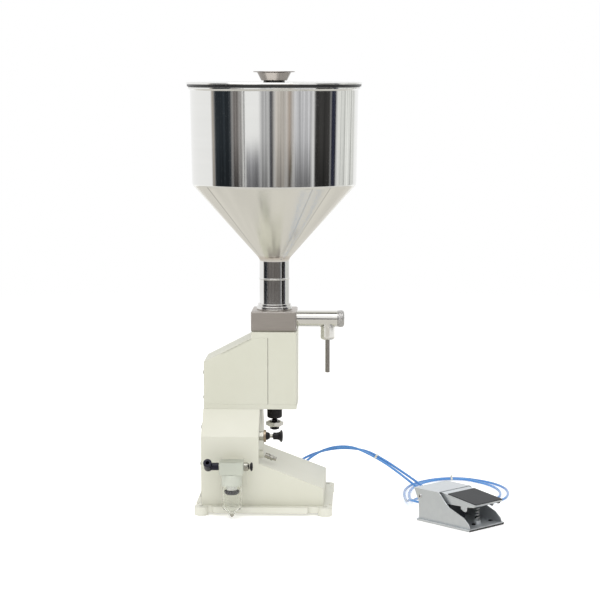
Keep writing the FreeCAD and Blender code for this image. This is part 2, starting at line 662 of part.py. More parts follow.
def stroke_stop():
    """The black bush that guides the rod and stops it, and the disc and nut on the rod's end."""
    high = s.shoulder_top
    low = high - s.stop_drop
    bore = s.rod_r + s.run_gap
    plate_top = high + s.head_base_thick
    body = turned("stop_bumper",
                  [(bore, low), (s.stop_r - s.stop_round, low),
                   (s.stop_r, low + s.stop_round), (s.stop_r, high),
                   (s.bush_r, high), (s.bush_r, plate_top), (bore, plate_top)], (s.axis_x, 0, 0))
    drill(body, "XZ_Plane", [(0, high)], s.stop_notch_r, -s.stop_r, -s.bush_r)
    disc_low = disc_level()
    nut = new_body("stroke_nut", (s.axis_x, 0, disc_low))
    pad(nut, "XY_Plane", round_corners(s.disc_r, NUT_FACETS), 0, s.disc_tall)
    drill(nut, "XY_Plane", [(0, 0)], bore, 0, s.disc_tall)
    rim = SIZES["disc_tall"] - SAME_PLACE
    finish_edges(nut, "Chamfer", s.disc_edge,
                 lambda edge, middle: edge.Curve.TypeId == "Part::GeomLine"
                 and (middle.z < SAME_PLACE or middle.z > rim))
    lock = new_body("end_nut", (s.axis_x, 0, disc_low - s.end_nut_tall))
    pad(lock, "XY_Plane", round_corners(s.end_nut_r, 6), 0, s.end_nut_tall)
    drill(lock, "XY_Plane", [(0, 0)], bore, 0, s.end_nut_tall)


# Valve block and inlet valve

def valve_block():
    block = new_body("valve_block")
    low = s.deck_top
    top = low + s.block_tall
    half = s.block_side / 2
    pad(block, "XY_Plane", box_outline(s.axis_x - half, s.axis_x + half, -half, half), low, top)
    height = low + s.outlet_axis_up
    seat = low + s.measure_seat + s.measure_seal
    drill(block, "XY_Plane", [(s.axis_x, 0)], s.measure_r + s.measure_wall + s.run_gap, low, seat)
    drill(block, "XY_Plane", [(s.axis_x, 0)], s.valve_bore_r, seat, top)
    face = s.axis_x + half
    drill(block, "YZ_Plane", [(0, height)], s.outlet_bore_r, s.axis_x + s.valve_bore_r - s.outlet_wall, face)
    drill(block, "YZ_Plane", [(0, height)], s.outlet_r - s.outlet_wall, face - s.outlet_spigot, face)
    limit_x = half.value - SAME_PLACE
    limit_low = low.value + SAME_PLACE
    limit_top = top.value - SAME_PLACE
    centre = SIZES["axis_x"]
    finish_edges(block, "Chamfer", s.block_edge,
                 lambda edge, middle: edge.Curve.TypeId == "Part::GeomLine"
                 and (upright(edge) or middle.z > limit_top or middle.z < limit_low)
                 and (abs(middle.x - centre) > limit_x or abs(middle.y) > limit_x))


def hopper_collar():
    """The stepped ring that the hopper's neck sits in, with its seal."""
    low = s.deck_top + s.block_tall
    step = low + s.collar_low_tall
    top = low + s.collar_tall
    ledge = low + s.collar_ledge
    socket = s.neck_r + s.run_gap
    edge = s.collar_edge
    high_r = s.collar_r - s.collar_step
    turned("hopper_collar",
           [(s.collar_bore_r, low), (s.collar_r - edge, low), (s.collar_r, low + edge),
            (s.collar_r, step - edge), (s.collar_r - edge, step), (high_r, step), (high_r, top - edge),
            (high_r - edge, top), (socket, top), (socket, ledge), (s.collar_bore_r, ledge)],
           (s.axis_x, 0, 0))
    neck_ring = turned("neck_seal_ring", tube_outline(s.collar_bore_r + s.seal_in, s.neck_r, ledge,
                                                      ledge + s.hopper_seal), (s.axis_x, 0, 0))
    seat = s.deck_top + s.measure_seat
    cylinder_ring = turned("cylinder_seal_ring", tube_outline(s.measure_r, s.measure_r + s.measure_wall, seat,
                                                              seat + s.measure_seal), (s.axis_x, 0, 0))
    group("block_seals", neck_ring, cylinder_ring)


def hopper():
    """The spun hopper: neck with a weld ring, cone, slightly flared wall and rolled rim."""
    foot = s.deck_top + s.block_tall + s.collar_ledge + s.hopper_seal
    wall = s.hopper_wall
    bead = s.rim_bead
    ring = s.neck_ring
    top = s.hopper_top
    neck_in = s.neck_r - wall
    cone_run = s.hopper_low_r - s.neck_r
    cone_rise = s.cone_top - s.neck_top
    cone_wall = (cone_run * cone_run + cone_rise * cone_rise).root()
    corner = wall * (cone_wall - cone_rise) / cone_run
    lip_r = s.hopper_top_r + bead * 1.5
    turned("hopper",
           [(neck_in, foot), (s.neck_r, foot), (s.neck_r, s.neck_ring_z - ring),
            (s.neck_r + ring, s.neck_ring_z), (s.neck_r, s.neck_ring_z + ring),
            (s.neck_r, s.neck_top), (s.hopper_low_r, s.cone_top), (s.hopper_top_r, top - bead * 2),
            (lip_r, top - bead), (lip_r - s.rim_lip, top - s.rim_lip), (lip_r - bead, top),
            (s.hopper_top_r - wall, top), (s.hopper_low_r - wall, s.cone_top + corner),
            (neck_in, s.neck_top + corner)], (s.axis_x, 0, 0))


def inlet_valve():
    """The seat with its spider, the poppet that the suction stroke pulls down, and its spring."""
    low = s.deck_top + s.block_tall
    axis = (s.axis_x, 0, 0)
    seat_top = low + s.seat_thick
    outer = s.collar_bore_r - s.run_gap
    wall_r = s.seat_bore_r + s.seat_wall
    hub_top = low + s.spider_hub_up
    guide = turned("inlet_guide",
                   [(s.seat_bore_r, low), (outer, low), (outer, seat_top), (wall_r, seat_top),
                    (wall_r, seat_top + s.seat_thick), (s.seat_bore_r, seat_top + s.seat_thick)], axis)
    disc(guide, "XY_Plane", 0, 0, s.spider_hub_r, seat_top, hub_top)
    arm = s.spider_arm / 2
    reach = s.seat_bore_r + s.spider_reach
    pad(guide, "XY_Plane", box_outline(-reach, reach, -arm, arm), low + s.seat_thick, low + s.seat_thick * 2)
    pad(guide, "XY_Plane", box_outline(-arm, arm, -reach, reach), low + s.seat_thick, low + s.seat_thick * 2)
    drill(guide, "XY_Plane", [(0, 0)], s.poppet_stem_r + s.run_gap, low, hub_top)
    head_top = low - s.slide_gap
    nut_low = hub_top + s.inlet_spring_tall
    nut_top = nut_low + s.poppet_nut
    turned("inlet_poppet",
           [(0, head_top - s.poppet_head), (s.poppet_head_r, head_top - s.poppet_head),
            (s.poppet_head_r, head_top), (s.poppet_stem_r, head_top), (s.poppet_stem_r, nut_low),
            (s.poppet_nut_r, nut_low), (s.poppet_nut_r, nut_top), (0, nut_top)], axis)
    turned("inlet_spring", tube_outline(s.poppet_stem_r + s.spring_gap, s.poppet_nut_r, hub_top, nut_low),
           axis)


# Lid

def lid():
    """The pressed lid with its spigot, seal, dished knob and the screw that holds the knob."""
    axis = (s.axis_x, 0, 0)
    low = s.hopper_top + s.lid_up
    top = low + s.lid_skirt
    thick = s.lid_thick
    bend = s.lid_bend_r
    under = top - thick
    drop = s.hopper_top - s.lid_spigot_drop
    spigot_r = s.hopper_top_r - s.lid_spigot_in
    lid_r = s.hopper_top_r + s.lid_over
    turned("lid",
           [(s.lid_screw_r, under), (spigot_r - thick, under), (spigot_r - thick, drop), (spigot_r, drop),
            (spigot_r, under), (lid_r - thick, under), (lid_r - thick, low), (lid_r, low),
            (lid_r, top - bend, bend), (lid_r - bend, top), (s.lid_screw_r, top)], axis)
    seal = turned("lid_seal_ring",
                  tube_outline(s.hopper_top_r - s.lid_seal_in, s.hopper_top_r + s.lid_seal_out,
                               s.hopper_top, under), axis)
    foot = top + s.washer_tall
    washer = turned("knob_washer",
                    [(s.lid_screw_r, top), (s.washer_r, top), (s.washer_r, foot - s.washer_edge),
                     (s.washer_r - s.washer_edge, foot), (s.lid_screw_r, foot)], axis)
    group("lid_seals", seal, washer)
    knob_top = foot + s.knob_tall
    brim = s.knob_brim_r
    rim = brim - s.dish_rim
    turned("lid_knob",
           [(0, under - s.lid_nut), (s.lid_nut_r, under - s.lid_nut), (s.lid_nut_r, under),
            (s.lid_screw_r, under), (s.lid_screw_r, foot), (s.knob_foot_r, foot),
            (s.knob_cone_r, knob_top - s.knob_brim), (brim, knob_top - s.knob_brim),
            (brim, knob_top - s.knob_edge), (brim - s.knob_edge, knob_top),
            (rim, knob_top), (rim - s.dish_rim, knob_top - s.dish_deep), (0, knob_top - s.dish_deep)], axis)


# Outlet

def outlet():
    """The outlet tube with its turned-down spout, the check valve inside, the cap and the nozzle."""
    face = s.axis_x + s.block_side / 2
    bore = s.outlet_r - s.outlet_wall
    height = s.deck_top + s.outlet_axis_up
    end = face + s.outlet_long
    seat = face + s.outlet_seat_in
    spout = face + s.spout_out
    spout_low = height - s.spout_drop
    shank_top = spout_low + s.nozzle_shank
    tube = new_body("outlet_tube")
    disc(tube, "YZ_Plane", 0, height, s.outlet_r, face, end)
    disc(tube, "YZ_Plane", 0, height, bore - s.run_gap, face - s.outlet_spigot, face)
    disc(tube, "XY_Plane", spout, 0, s.spout_r, spout_low, height)
    round_low = spout_low.value + SAME_PLACE
    finish_edges(tube, "Fillet", s.spout_round, lambda edge, middle: middle.z < round_low)
    drill(tube, "YZ_Plane", [(0, height)], s.outlet_seat_r, face - s.outlet_spigot, seat)
    drill(tube, "YZ_Plane", [(0, height)], bore, seat, end)
    drill(tube, "XY_Plane", [(spout, 0)], s.spout_bore_r, shank_top, height)
    shank_r = s.nozzle_r - s.nozzle_shoulder
    drill(tube, "XY_Plane", [(spout, 0)], shank_r + s.run_gap, spout_low, shank_top)
    cap_end = s.cap_long + s.cap_dome
    boss = -s.cap_boss
    plug = -s.cap_plug
    stem_bore = s.poppet_stem_r + s.run_gap
    turned("outlet_cap",
           [(stem_bore, boss), (s.cap_boss_r, boss), (s.cap_boss_r, plug), (bore - s.run_gap, plug),
            (bore - s.run_gap, 0), (s.cap_r, 0), (s.cap_r, s.cap_long), (s.cap_r - s.cap_dome, cap_end),
            (0, cap_end), (0, s.cap_dome), (stem_bore, s.cap_dome)],
           (end, 0, height), ALONG["front"])
    head = s.slide_gap
    head_top = head + s.outlet_head
    boss_face = end - s.cap_boss - seat
    stem_end = boss_face + s.outlet_stem_in
    turned("outlet_poppet",
           [(0, head), (s.outlet_head_r, head), (s.outlet_head_r, head_top), (s.poppet_stem_r, head_top),
            (s.poppet_stem_r, stem_end), (0, stem_end)], (seat, 0, height), ALONG["front"])
    turned("outlet_spring", tube_outline(s.poppet_stem_r + s.spring_gap, s.cap_boss_r, head_top, boss_face),
           (seat, 0, height), ALONG["front"])
    tip = spout_low - s.nozzle_long
    turned("nozzle",
           [(s.nozzle_bore_r, tip), (s.nozzle_r - s.nozzle_tip_in, tip),
            (s.nozzle_r, tip + s.nozzle_tip_edge), (s.nozzle_r, spout_low), (shank_r, spout_low),
            (shank_r, shank_top), (s.nozzle_bore_r, shank_top)], (spout, 0, 0))


# Controls on the column

def push_pull_valve():
    """A panel valve: body behind the wall, hex, lock ring, gland, and a stem with a trumpet knob."""
    place = (s.column_front_x, s.pull_in - s.body_half_y, s.pull_z)
    front = ALONG["front"]
    body = new_body("push_pull_valve_body", place, front)
    half = s.pull_body_half
    pad(body, "XY_Plane", box_outline(-half, half, -half, half), -s.pull_body_long, -s.body_wall)
    disc(body, "XY_Plane", 0, 0, s.pull_thread_r, -s.body_wall, s.pull_ring_at)
    pad(body, "XY_Plane", round_corners(s.pull_hex_r, 6), 0, s.pull_hex)
    bore = s.pull_stem_r + s.run_gap
    drill(body, "XY_Plane", [(0, 0)], bore, -s.pull_body_long / 2, s.pull_ring_at)
    ring_low = s.pull_hex
    ring_high = ring_low + s.pull_ring_thick
    edge = s.pull_ring_edge
    lip = bore + edge
    turned("push_pull_lock_ring",
           [(s.pull_thread_r, ring_low), (s.pull_ring_r, ring_low), (s.pull_ring_r, ring_high - edge),
            (s.pull_ring_r - edge, ring_high), (lip, ring_high), (lip, s.pull_ring_at),
            (s.pull_thread_r, s.pull_ring_at)], place, front)
    gland_high = ring_high + s.pull_gland
    turned("push_pull_gland",
           [(bore, ring_high), (s.pull_gland_r, ring_high), (s.pull_gland_r, gland_high - s.pull_gland_edge),
            (s.pull_gland_r - s.pull_gland_edge, gland_high), (bore, gland_high)], place, front)
    knob = s.pull_stem_end + s.slide_gap
    end = knob + s.pull_knob_long
    stem_low = s.pull_travel + s.slide_gap * 10 - s.pull_body_long / 2
    face = end - s.pull_knob_face
    turned("push_pull_knob",
           [(0, stem_low), (s.pull_stem_r, stem_low), (s.pull_stem_r, knob), (s.pull_knob_neck_r, knob),
            (s.pull_knob_neck_r, knob + s.pull_knob_neck, s.pull_knob_long),
            (s.pull_knob_r, face - s.pull_knob_brim), (s.pull_knob_r, face),
            (s.pull_knob_r - s.pull_gland_edge, end - edge), (0, end)], place, front)


def speed_valve():
    """A needle valve that leans with the wedge: boss, body, lock nut and slotted screw."""
    tilt = Rotation(Vector(0, 1, 0), 90 + SIZES["speed_tilt"])
    along = s.speed_in - s.body_half_y
    level = s.wedge_high + s.speed_up
    boss = new_body("speed_boss", (s.column_front_x, along, level), ALONG["front"])
    disc(boss, "XY_Plane", 0, 0, s.speed_boss_r, 0, s.speed_boss)
    place = (s.column_front_x + s.speed_root, along, level - s.speed_root_drop)
    bore = s.speed_shank_r + s.run_gap
    nut_low = s.speed_body_at + s.speed_body
    barrel = turned("speed_barrel", tube_outline(bore, s.speed_body_r, s.speed_body_at, nut_low), place, tilt)
    lock_nut = new_body("speed_lock_nut", place, tilt)
    pad(lock_nut, "XY_Plane", round_corners(s.speed_nut_r, 6), nut_low, nut_low + s.speed_nut)
    drill(lock_nut, "XY_Plane", [(0, 0)], bore, nut_low, nut_low + s.speed_nut)
    group("speed_valve_body", boss, barrel, lock_nut)
    screw_low = nut_low + s.speed_nut + s.slide_gap
    top = screw_low + s.speed_screw
    root = s.speed_body_at + s.speed_slot
    head = turned("speed_screw",
                  [(0, root), (s.speed_shank_r, root), (s.speed_shank_r, screw_low),
                   (s.speed_screw_r, screw_low),
                   (s.speed_screw_r, top - s.speed_edge), (s.speed_screw_r - s.speed_edge, top), (0, top)],
                  place, tilt)
    slot = s.speed_slot / 2
    pocket(head, "XY_Plane", box_outline(-s.speed_screw_r, s.speed_screw_r, -slot, slot),
           top - s.speed_slot_deep, top)


# Air filter

def air_filter():
    filter_y = -s.body_half_y - s.filter_out
    head = new_body("filter_head", (s.filter_x, filter_y, 0))
    pad(head, "XY_Plane", box_outline(-s.filter_half, s.filter_half, -s.filter_deep, s.filter_deep),
        s.filter_low, s.filter_top)
    finish_edges(head, "Fillet", s.filter_round, lambda edge, middle: upright(edge))
    socket = s.filter_socket
    cavity = s.filter_low + socket
    drill(head, "XY_Plane", [(0, 0)], s.element_r + s.slide_gap, s.filter_low, cavity)
    for low, high in ((-s.filter_half, socket - s.filter_half), (s.filter_half - socket, s.filter_half)):
        drill(head, "YZ_Plane", [(0, s.filter_port_z)], s.filter_port_r, low, high)
    axis = (s.filter_x, filter_y, 0)
    wall = s.bowl_wall
    bowl_top = s.filter_low - wall
    inner_r = s.bowl_r - wall
    collar_r = s.element_r + s.bowl_edge
    turned("filter_shell_ring",
           [(s.bowl_r, s.shell_low), (s.shell_r, s.shell_low), (s.shell_r, s.filter_low),
            (collar_r, s.filter_low), (collar_r, bowl_top), (s.bowl_r, bowl_top)], axis)
    straight = s.bowl_low + s.bowl_bend
    turned("filter_bowl",
           [(s.drain_r, s.bowl_tip), (s.bowl_tip_r, s.bowl_tip), (s.bowl_r - s.bowl_edge, s.bowl_low),
            (s.bowl_r, straight), (s.bowl_r, bowl_top), (inner_r, bowl_top), (inner_r, straight),
            (inner_r - s.bowl_edge, s.bowl_low + wall), (s.drain_r, s.bowl_tip + wall)], axis)
    baffle_top = s.baffle_low + s.baffle_tall
    stem_r = s.baffle_stem_r
    baffle = turned("baffle",
                    [(0, s.baffle_low), (s.baffle_r - s.baffle_lean, s.baffle_low), (s.baffle_r, baffle_top),
                     (stem_r, baffle_top), (stem_r, s.element_low), (0, s.element_low)], axis)
    element = turned("element", tube_outline(0, s.element_r, s.element_low, cavity), axis)
    group("filter_element", baffle, element)
    plug_r = s.drain_r - s.run_gap
    plug_top = s.bowl_tip + s.drain_plug
    shoulder = s.bowl_tip - s.slide_gap
    turned("drain_cock",
           [(0, s.drain_low), (s.drain_r - s.bowl_edge, s.drain_low), (s.drain_r, s.drain_low + s.bowl_edge),
            (s.drain_r, shoulder), (plug_r, shoulder), (plug_r, plug_top), (0, plug_top)], axis)
    bracket_y = s.filter_deep
    bracket = new_body("filter_bracket", (s.filter_x, filter_y, 0))
    wall_y = s.filter_out
    thick = s.bracket_thick
    shelf = s.filter_top - s.bracket_drop
    pad(bracket, "XY_Plane", box_outline(-s.bracket_half, s.bracket_half, wall_y - thick, wall_y),
        s.filter_low, s.filter_top)
    pad(bracket, "XY_Plane", box_outline(-s.bracket_half, s.bracket_half, bracket_y, wall_y),
        shelf - thick, shelf)
    pad(bracket, "XY_Plane", box_outline(-s.bracket_half, s.bracket_half, bracket_y, bracket_y + thick),
        s.filter_low, s.filter_top)
    leg = s.bracket_half
    pad(bracket, "XY_Plane", box_outline(leg - thick, leg + s.bracket_screw_tab, wall_y - thick, wall_y),
        s.bracket_low, s.filter_low + s.bracket_drop)


def filter_fittings():
    """The swivel elbow for the supply hose, and the push-in fitting on the other side."""
    left = s.filter_x - s.filter_half
    filter_y = -s.body_half_y - s.filter_out
    socket = s.filter_socket
    swivel = Rotation(Vector(1, 0, 0), SIZES["elbow_turn"])
    elbow = new_body("inlet_elbow", (left, filter_y, s.filter_port_z), swivel)
    disc(elbow, "YZ_Plane", 0, 0, s.elbow_stub_r, -s.slide_gap, socket - s.slide_gap)
    disc(elbow, "YZ_Plane", 0, 0, s.elbow_arm_r, -s.elbow_reach, -s.slide_gap)
    disc(elbow, "XY_Plane", -s.elbow_reach, 0, s.elbow_r, -s.elbow_r, s.elbow_rise)
    drill(elbow, "XY_Plane", [(-s.elbow_reach, 0)], s.hose_bore_r, 0, s.elbow_rise)
    right = s.filter_x + s.filter_half
    place = (right, filter_y, s.filter_port_z)
    outlet_fitting = new_body("fitting_body", place, ALONG["front"])
    disc(outlet_fitting, "XY_Plane", 0, 0, s.filter_port_r, -socket, 0)
    pad(outlet_fitting, "XY_Plane", round_corners(s.fitting_hex_r, 6), 0, s.fitting_hex)
    end = s.fitting_hex + s.ring_gap
    disc(outlet_fitting, "XY_Plane", 0, 0, s.ring_r - s.ring_edge, s.fitting_hex, end)
    drill(outlet_fitting, "XY_Plane", [(0, 0)], s.hose_bore_r, socket / 2, end)
    ring_end = end + s.ring_long
    ring = turned("release_ring",
                  [(s.hose_bore_r, end), (s.ring_r, end), (s.ring_r, ring_end - s.ring_edge),
                   (s.ring_r - s.ring_edge, ring_end), (s.hose_bore_r, ring_end)], place, ALONG["front"])
    group("outlet_fitting", outlet_fitting, ring)


# Control valve in the lower body

def control_valve():
    body = new_body("control_valve_body", (s.valve_x, s.valve_y, s.base_top))
    half = s.valve_long / 2
    deep = s.valve_deep / 2
    pad(body, "XY_Plane", box_outline(-half, half, -deep, deep), 0, s.valve_tall)
    middle = s.valve_tall / 2
    bore_end = half - s.spool_travel
    drill(body, "YZ_Plane", [(0, middle)], s.spool_r + s.run_gap, -bore_end, bore_end)
    solid = s.spool_long / 2
    land = s.spool_r
    waist = s.spool_waist_r
    end = solid - s.spool_end_land
    centre = s.spool_middle_land / 2
    turned("control_spool",
           [(0, -solid), (land, -solid), (land, -end), (waist, -end), (waist, -centre), (land, -centre),
            (land, centre), (waist, centre), (waist, end), (land, end), (land, solid), (0, solid)],
           (s.valve_x - s.spool_travel / 2, s.valve_y, s.base_top + middle), ALONG["front"])


fittings = []


def tube_exits():
    """Two bulkhead fittings in the wedge's far side, for the foot valve's tubes."""
    neck_r = s.exit_r - s.exit_flange
    for name, across in (("bulkhead_a", s.exit_x), ("bulkhead_b", s.exit_x - s.exit_apart)):
        place = (across, s.body_half_y, s.exit_z)
        body = new_body(name, place, ALONG["far"])
        fittings.append(body)
        disc(body, "XY_Plane", 0, 0, neck_r, -s.body_wall, 0)
        disc(body, "XY_Plane", 0, 0, s.exit_r, 0, s.exit_out)
        disc(body, "XY_Plane", 0, 0, s.exit_r, -s.body_wall - s.exit_nut, -s.body_wall)
        drill(body, "XY_Plane", [(0, 0)], s.tube_r + s.tube_gap, s.exit_out - s.exit_grip, s.exit_out)


# Foot valve

def foot_turn():
    return Rotation(Vector(0, 0, 1), SIZES["foot_turn"])


def foot_body(label):
    return new_body(label, (s.foot_x, s.foot_y, 0), foot_turn())


def foot_point(along, across, up=0):
    """A point of the foot valve's frame, in the machine's frame."""
    cosine = math.cos(math.radians(SIZES["foot_turn"]))
    sine = math.sin(math.radians(SIZES["foot_turn"]))
    along = sized(along)
    across = sized(across)
    return (s.foot_x + along * cosine - across * sine, s.foot_y + along * sine + across * cosine, sized(up))


def foot_turned(label, corners, along, across, up=0, turn=None):
    return turned(label, corners, foot_point(along, across, up), foot_turn() * (turn or Rotation()))


FOOT_SCREWS = ((s.foot_screw_u, s.foot_screw_near_v), (s.foot_screw_u, s.foot_screw_far_v),
               (s.foot_screw_back_u, s.foot_screw_back_v), (s.foot_screw_back_u, s.foot_screw_far_v))


def foot_base():
    plate_top = s.foot_mat + s.foot_plate
    for label, low, high in (("foot_mat", sized(0), s.foot_mat), ("foot_base_plate", s.foot_mat, plate_top)):
        body = foot_body(label)
        pad(body, "XY_Plane", box_outline(-s.foot_half_u, s.foot_half_u, -s.foot_half_v, s.foot_half_v),
            low, high)
        finish_edges(body, "Fillet", s.foot_corner, lambda edge, middle: upright(edge))
        drill(body, "XY_Plane", FOOT_SCREWS, s.m4_r, low, high)
    disc(body, "XY_Plane", s.spring_u, 0, s.spring_r + s.spring_cup, plate_top, s.spring_low)


def foot_housing():
    """Folded steel: two side walls with stepped fronts, a back and a short top."""
    wall = s.foot_wall
    low = s.foot_mat + s.foot_plate
    side = s.house_half_v
    top = s.house_top
    body = foot_body("foot_housing")
    knee_u = s.house_rear_u - s.house_knee_in
    pad(body, "XZ_Plane",
        [(s.house_rear_u, low), (knee_u, s.house_knee_w), (s.house_back_u, top), (s.house_top_end_u, top),
         (s.brow_u, s.brow_w), (s.step_u, s.step_w), (s.slope_u, s.slope_w), (s.toe_u, s.toe_w),
         (s.house_front_u, s.toe_tip_w), (s.house_front_u, low)], -side, side)
    inner = side - wall
    far = s.house_front_u + wall
    run = top - s.house_knee_w
    lean = drop_under(wall, run, knee_u - s.house_back_u)
    inner_back = s.house_back_u + lean + wall * (knee_u - s.house_back_u) / run
    pocket(body, "XZ_Plane",
           [(s.house_rear_u + wall, low), (knee_u + wall, s.house_knee_w), (inner_back, top - wall),
            (s.house_top_end_u - wall, top - wall), (s.house_top_end_u - wall, top), (far, top), (far, low)],
           -inner, inner)
    drill(body, "XZ_Plane", [(s.pivot_u, s.pivot_w)], s.pivot_r, -side, side)
    drill(body, "YZ_Plane", [(s.port_v, s.port_w), (-s.port_v, s.port_w)], s.port_r, s.house_back_u,
          s.house_rear_u + wall * 2)


def under_treadle(along):
    """The height of the treadle's underside, in front of its bend."""
    fall = (s.tread_back_w - s.tread_front_w) / (s.tread_front_u - s.tread_back_u)
    return s.tread_back_w - s.foot_wall - fall * (along - s.tread_back_u)


def foot_tread():
    """The treadle, a channel hung on the pivot pin, with a spring tab at each side."""
    wall = s.foot_wall
    side = s.tread_half_v
    front = s.tread_front_u
    top_back = s.tread_back_w
    eye = s.tread_eye
    tail = s.pivot_u - eye
    body = foot_body("foot_tread")
    tail_w = s.tread_tail_w
    pad(body, "XZ_Plane",
        [(tail, s.pivot_w - eye), (s.pivot_u + eye, s.pivot_w - eye), (s.skirt_rear_u, s.skirt_rear_w),
         (s.skirt_front_u, s.skirt_front_w), (s.tread_tab_u, s.tread_tab_w), (s.tab_front_u, s.tab_front_w),
         (s.nose_u, s.nose_w), (front, s.tread_front_w), (s.tread_back_u, top_back),
         (s.tread_back_u - s.tread_bend_u, s.tread_low_back), (tail, tail_w)], -side, side)
    inner = side - wall
    open_low = s.tread_tab_w - wall
    nose = s.nose_u
    pocket(body, "XZ_Plane",
           [(tail - wall, open_low), (nose, open_low), (nose, under_treadle(nose)),
            (s.tread_back_u, top_back - wall), (s.tread_back_u - s.tread_bend_u, s.tread_low_back - wall),
            (tail - wall, tail_w - wall)], -inner, inner)
    drill(body, "XZ_Plane", [(s.pivot_u, s.pivot_w)], s.pivot_r + s.run_gap, -side, side)
    cushion = foot_body("tread_pad")
    rise = s.tread_pad
    back = s.tread_back_u + s.tread_pad_back
    back_w = under_treadle(back) + wall
    pad(cushion, "XZ_Plane",
        [(back, back_w), (front, s.tread_front_w), (front, s.tread_front_w + rise), (back, back_w + rise)],
        s.tread_pad_in - side, side - s.tread_pad_in)


def foot_valve_unit():
    """The air valve under the treadle, its plunger, its ports, the pin and the return spring."""
    low = s.foot_mat + s.foot_plate
    body = foot_body("foot_valve_body")
    rear = s.foot_valve_u - s.foot_valve_half_u
    front = s.foot_valve_u + s.foot_valve_half_u
    pad(body, "XY_Plane", box_outline(rear, front, -s.foot_valve_half_v, s.foot_valve_half_v), low,
        s.foot_valve_top)
    bore = s.plunger_r + s.run_gap
    foot = s.foot_valve_top - s.plunger_in
    drill(body, "XY_Plane", [(s.plunger_u, 0)], bore, foot - s.plunger_down, s.foot_valve_top)
    top = s.plunger_top
    edge = s.plunger_edge
    foot_turned("foot_plunger",
                [(0, foot), (s.plunger_r, foot), (s.plunger_r, top - edge), (s.plunger_r - edge, top),
                 (0, top)],
                s.plunger_u, 0)
    long = rear - s.port_out_u
    bore = s.tube_r + s.tube_gap
    for name, across in (("foot_fitting_a", s.port_v), ("foot_fitting_b", -s.port_v)):
        fitting = foot_turned(name, [(bore, s.port_floor), (bore, long), (s.port_r, long), (s.port_r, 0),
                                     (0, 0), (0, s.port_floor)], rear, across, s.port_w, ALONG["rear"])
        fittings.append(fitting)
    group("tube_fittings", *fittings)
    head = s.pivot_head
    side = s.house_half_v
    foot_turned("pivot_pin",
                [(0, -side - head), (s.pivot_head_r, -side - head), (s.pivot_head_r, -side),
                 (s.pivot_r, -side),
                 (s.pivot_r, side), (s.pivot_head_r, side), (s.pivot_head_r, side + head), (0, side + head)],
                s.pivot_u, 0, s.pivot_w, ALONG["far"])
    spring_top = under_treadle(s.spring_u + s.spring_r) - s.seat_gap
    foot_turned("return_spring",
                tube_outline(s.spring_r - s.spring_wire, s.spring_r, s.spring_low, spring_top), s.spring_u, 0)
    places = [foot_point(along, across, low) for along, across in FOOT_SCREWS]
    add_screws(places, Vector(0, 0, -1), low)


# Air tubes

TUBE_A = [(58, 85, 44), (58, 114, 44), (80, 131, 58), (108, 127, 69), (138, 118, 71), (164, 108, 62),
          (192, 100, 48), (216, 94, 32), (238, 82, 17), (258, 56, 6), (282, 22, 2), (312, 0, 2),
          (346, -4, 2), (374, 10, 2), (392, 40, 2), (399, 80, 2), (396, 118, 2), (380, 152, 2),
          (356, 176, 2), (326, 189, 3), (290, 186, 3), (260, 168, 2), (238, 138, 2), (227, 100, 2),
          (225, 62, 2), (227, 24, 2), (229, -14, 7), (231.5, -44, 17), (238.4, -66, 20),
          (259.6, -87.2, 20)]
TUBE_B = [(47, 85, 44), (47, 118, 44), (70, 136, 54), (104, 134, 64), (137, 125, 67), (166.1, 110.95, 64.5),
          (194.1, 102.95, 50.5), (217, 99, 36), (240, 90, 22), (262, 66, 10), (284, 34, 3), (308, 13, 2),
          (338, 6, 2), (364, 16, 2), (380, 42, 2), (386, 76, 2), (383, 110, 2), (370, 142, 2),
          (352, 165, 2), (326.4, 184.6, 3), (290.4, 181.6, 3), (264, 162, 2), (246, 132, 2), (236, 96, 2),
          (233, 60, 2), (235, 24, 2), (239, -10, 8), (243.5, -34, 17), (251.1, -53.3, 20),
          (272.3, -74.5, 20)]


def air_tube(label, points):
    """A tube on straight runs joined by tangent arcs, which take nearly half of each run."""
    corners = [Vector(*point) for point in points]
    edges = []
    start = corners[0]
    bend_share = 0.45
    radii = []
    for before, corner, after in zip(corners, corners[1:], corners[2:]):
        arriving = corner - before
        leaving = after - corner
        reach = bend_share * min(arriving.Length, leaving.Length)
        turn = arriving.getAngle(leaving)
        radius = reach / math.tan(turn / 2)
        radii.append(radius)
        first = corner - arriving.normalize() * reach
        last = corner + leaving.normalize() * reach
        middle = (first + last) * 0.5
        inward = (middle - corner).normalize()
        bow = corner + inward * (radius / math.cos(turn / 2) - radius)
        edges.append(Part.LineSegment(start, first).toShape())
        edges.append(Part.Arc(first, bow, last).toShape())
        start = last
    edges.append(Part.LineSegment(start, corners[-1]).toShape())
    path = Part.Wire(edges)
    radius = s.tube_r.value
    section = Part.Wire([Part.makeCircle(radius, corners[0], corners[1] - corners[0])])
    tube = path.makePipeShell([section], True, False)
    expected = math.pi * radius * radius * path.Length
    print("%s: length %.0f mm, least radius %.0f mm, volume %.4f of section times length"
          % (label, path.Length, min(radii), tube.Volume / expected))
    solid_part(label, tube)


def stadium(centre, across, above, radius):
    """A wire of two half circles and two lines round a pair of places either side of the centre."""
    outward = Vector(across).normalize() * radius
    right = centre + across
    left = centre - across
    rise = above * radius
    return Part.Wire([Part.LineSegment(left + rise, right + rise).toShape(),
                      Part.Arc(right + rise, right + outward, right - rise).toShape(),
                      Part.LineSegment(right - rise, left - rise).toShape(),
                      Part.Arc(left - rise, left - outward, left + rise).toShape()])


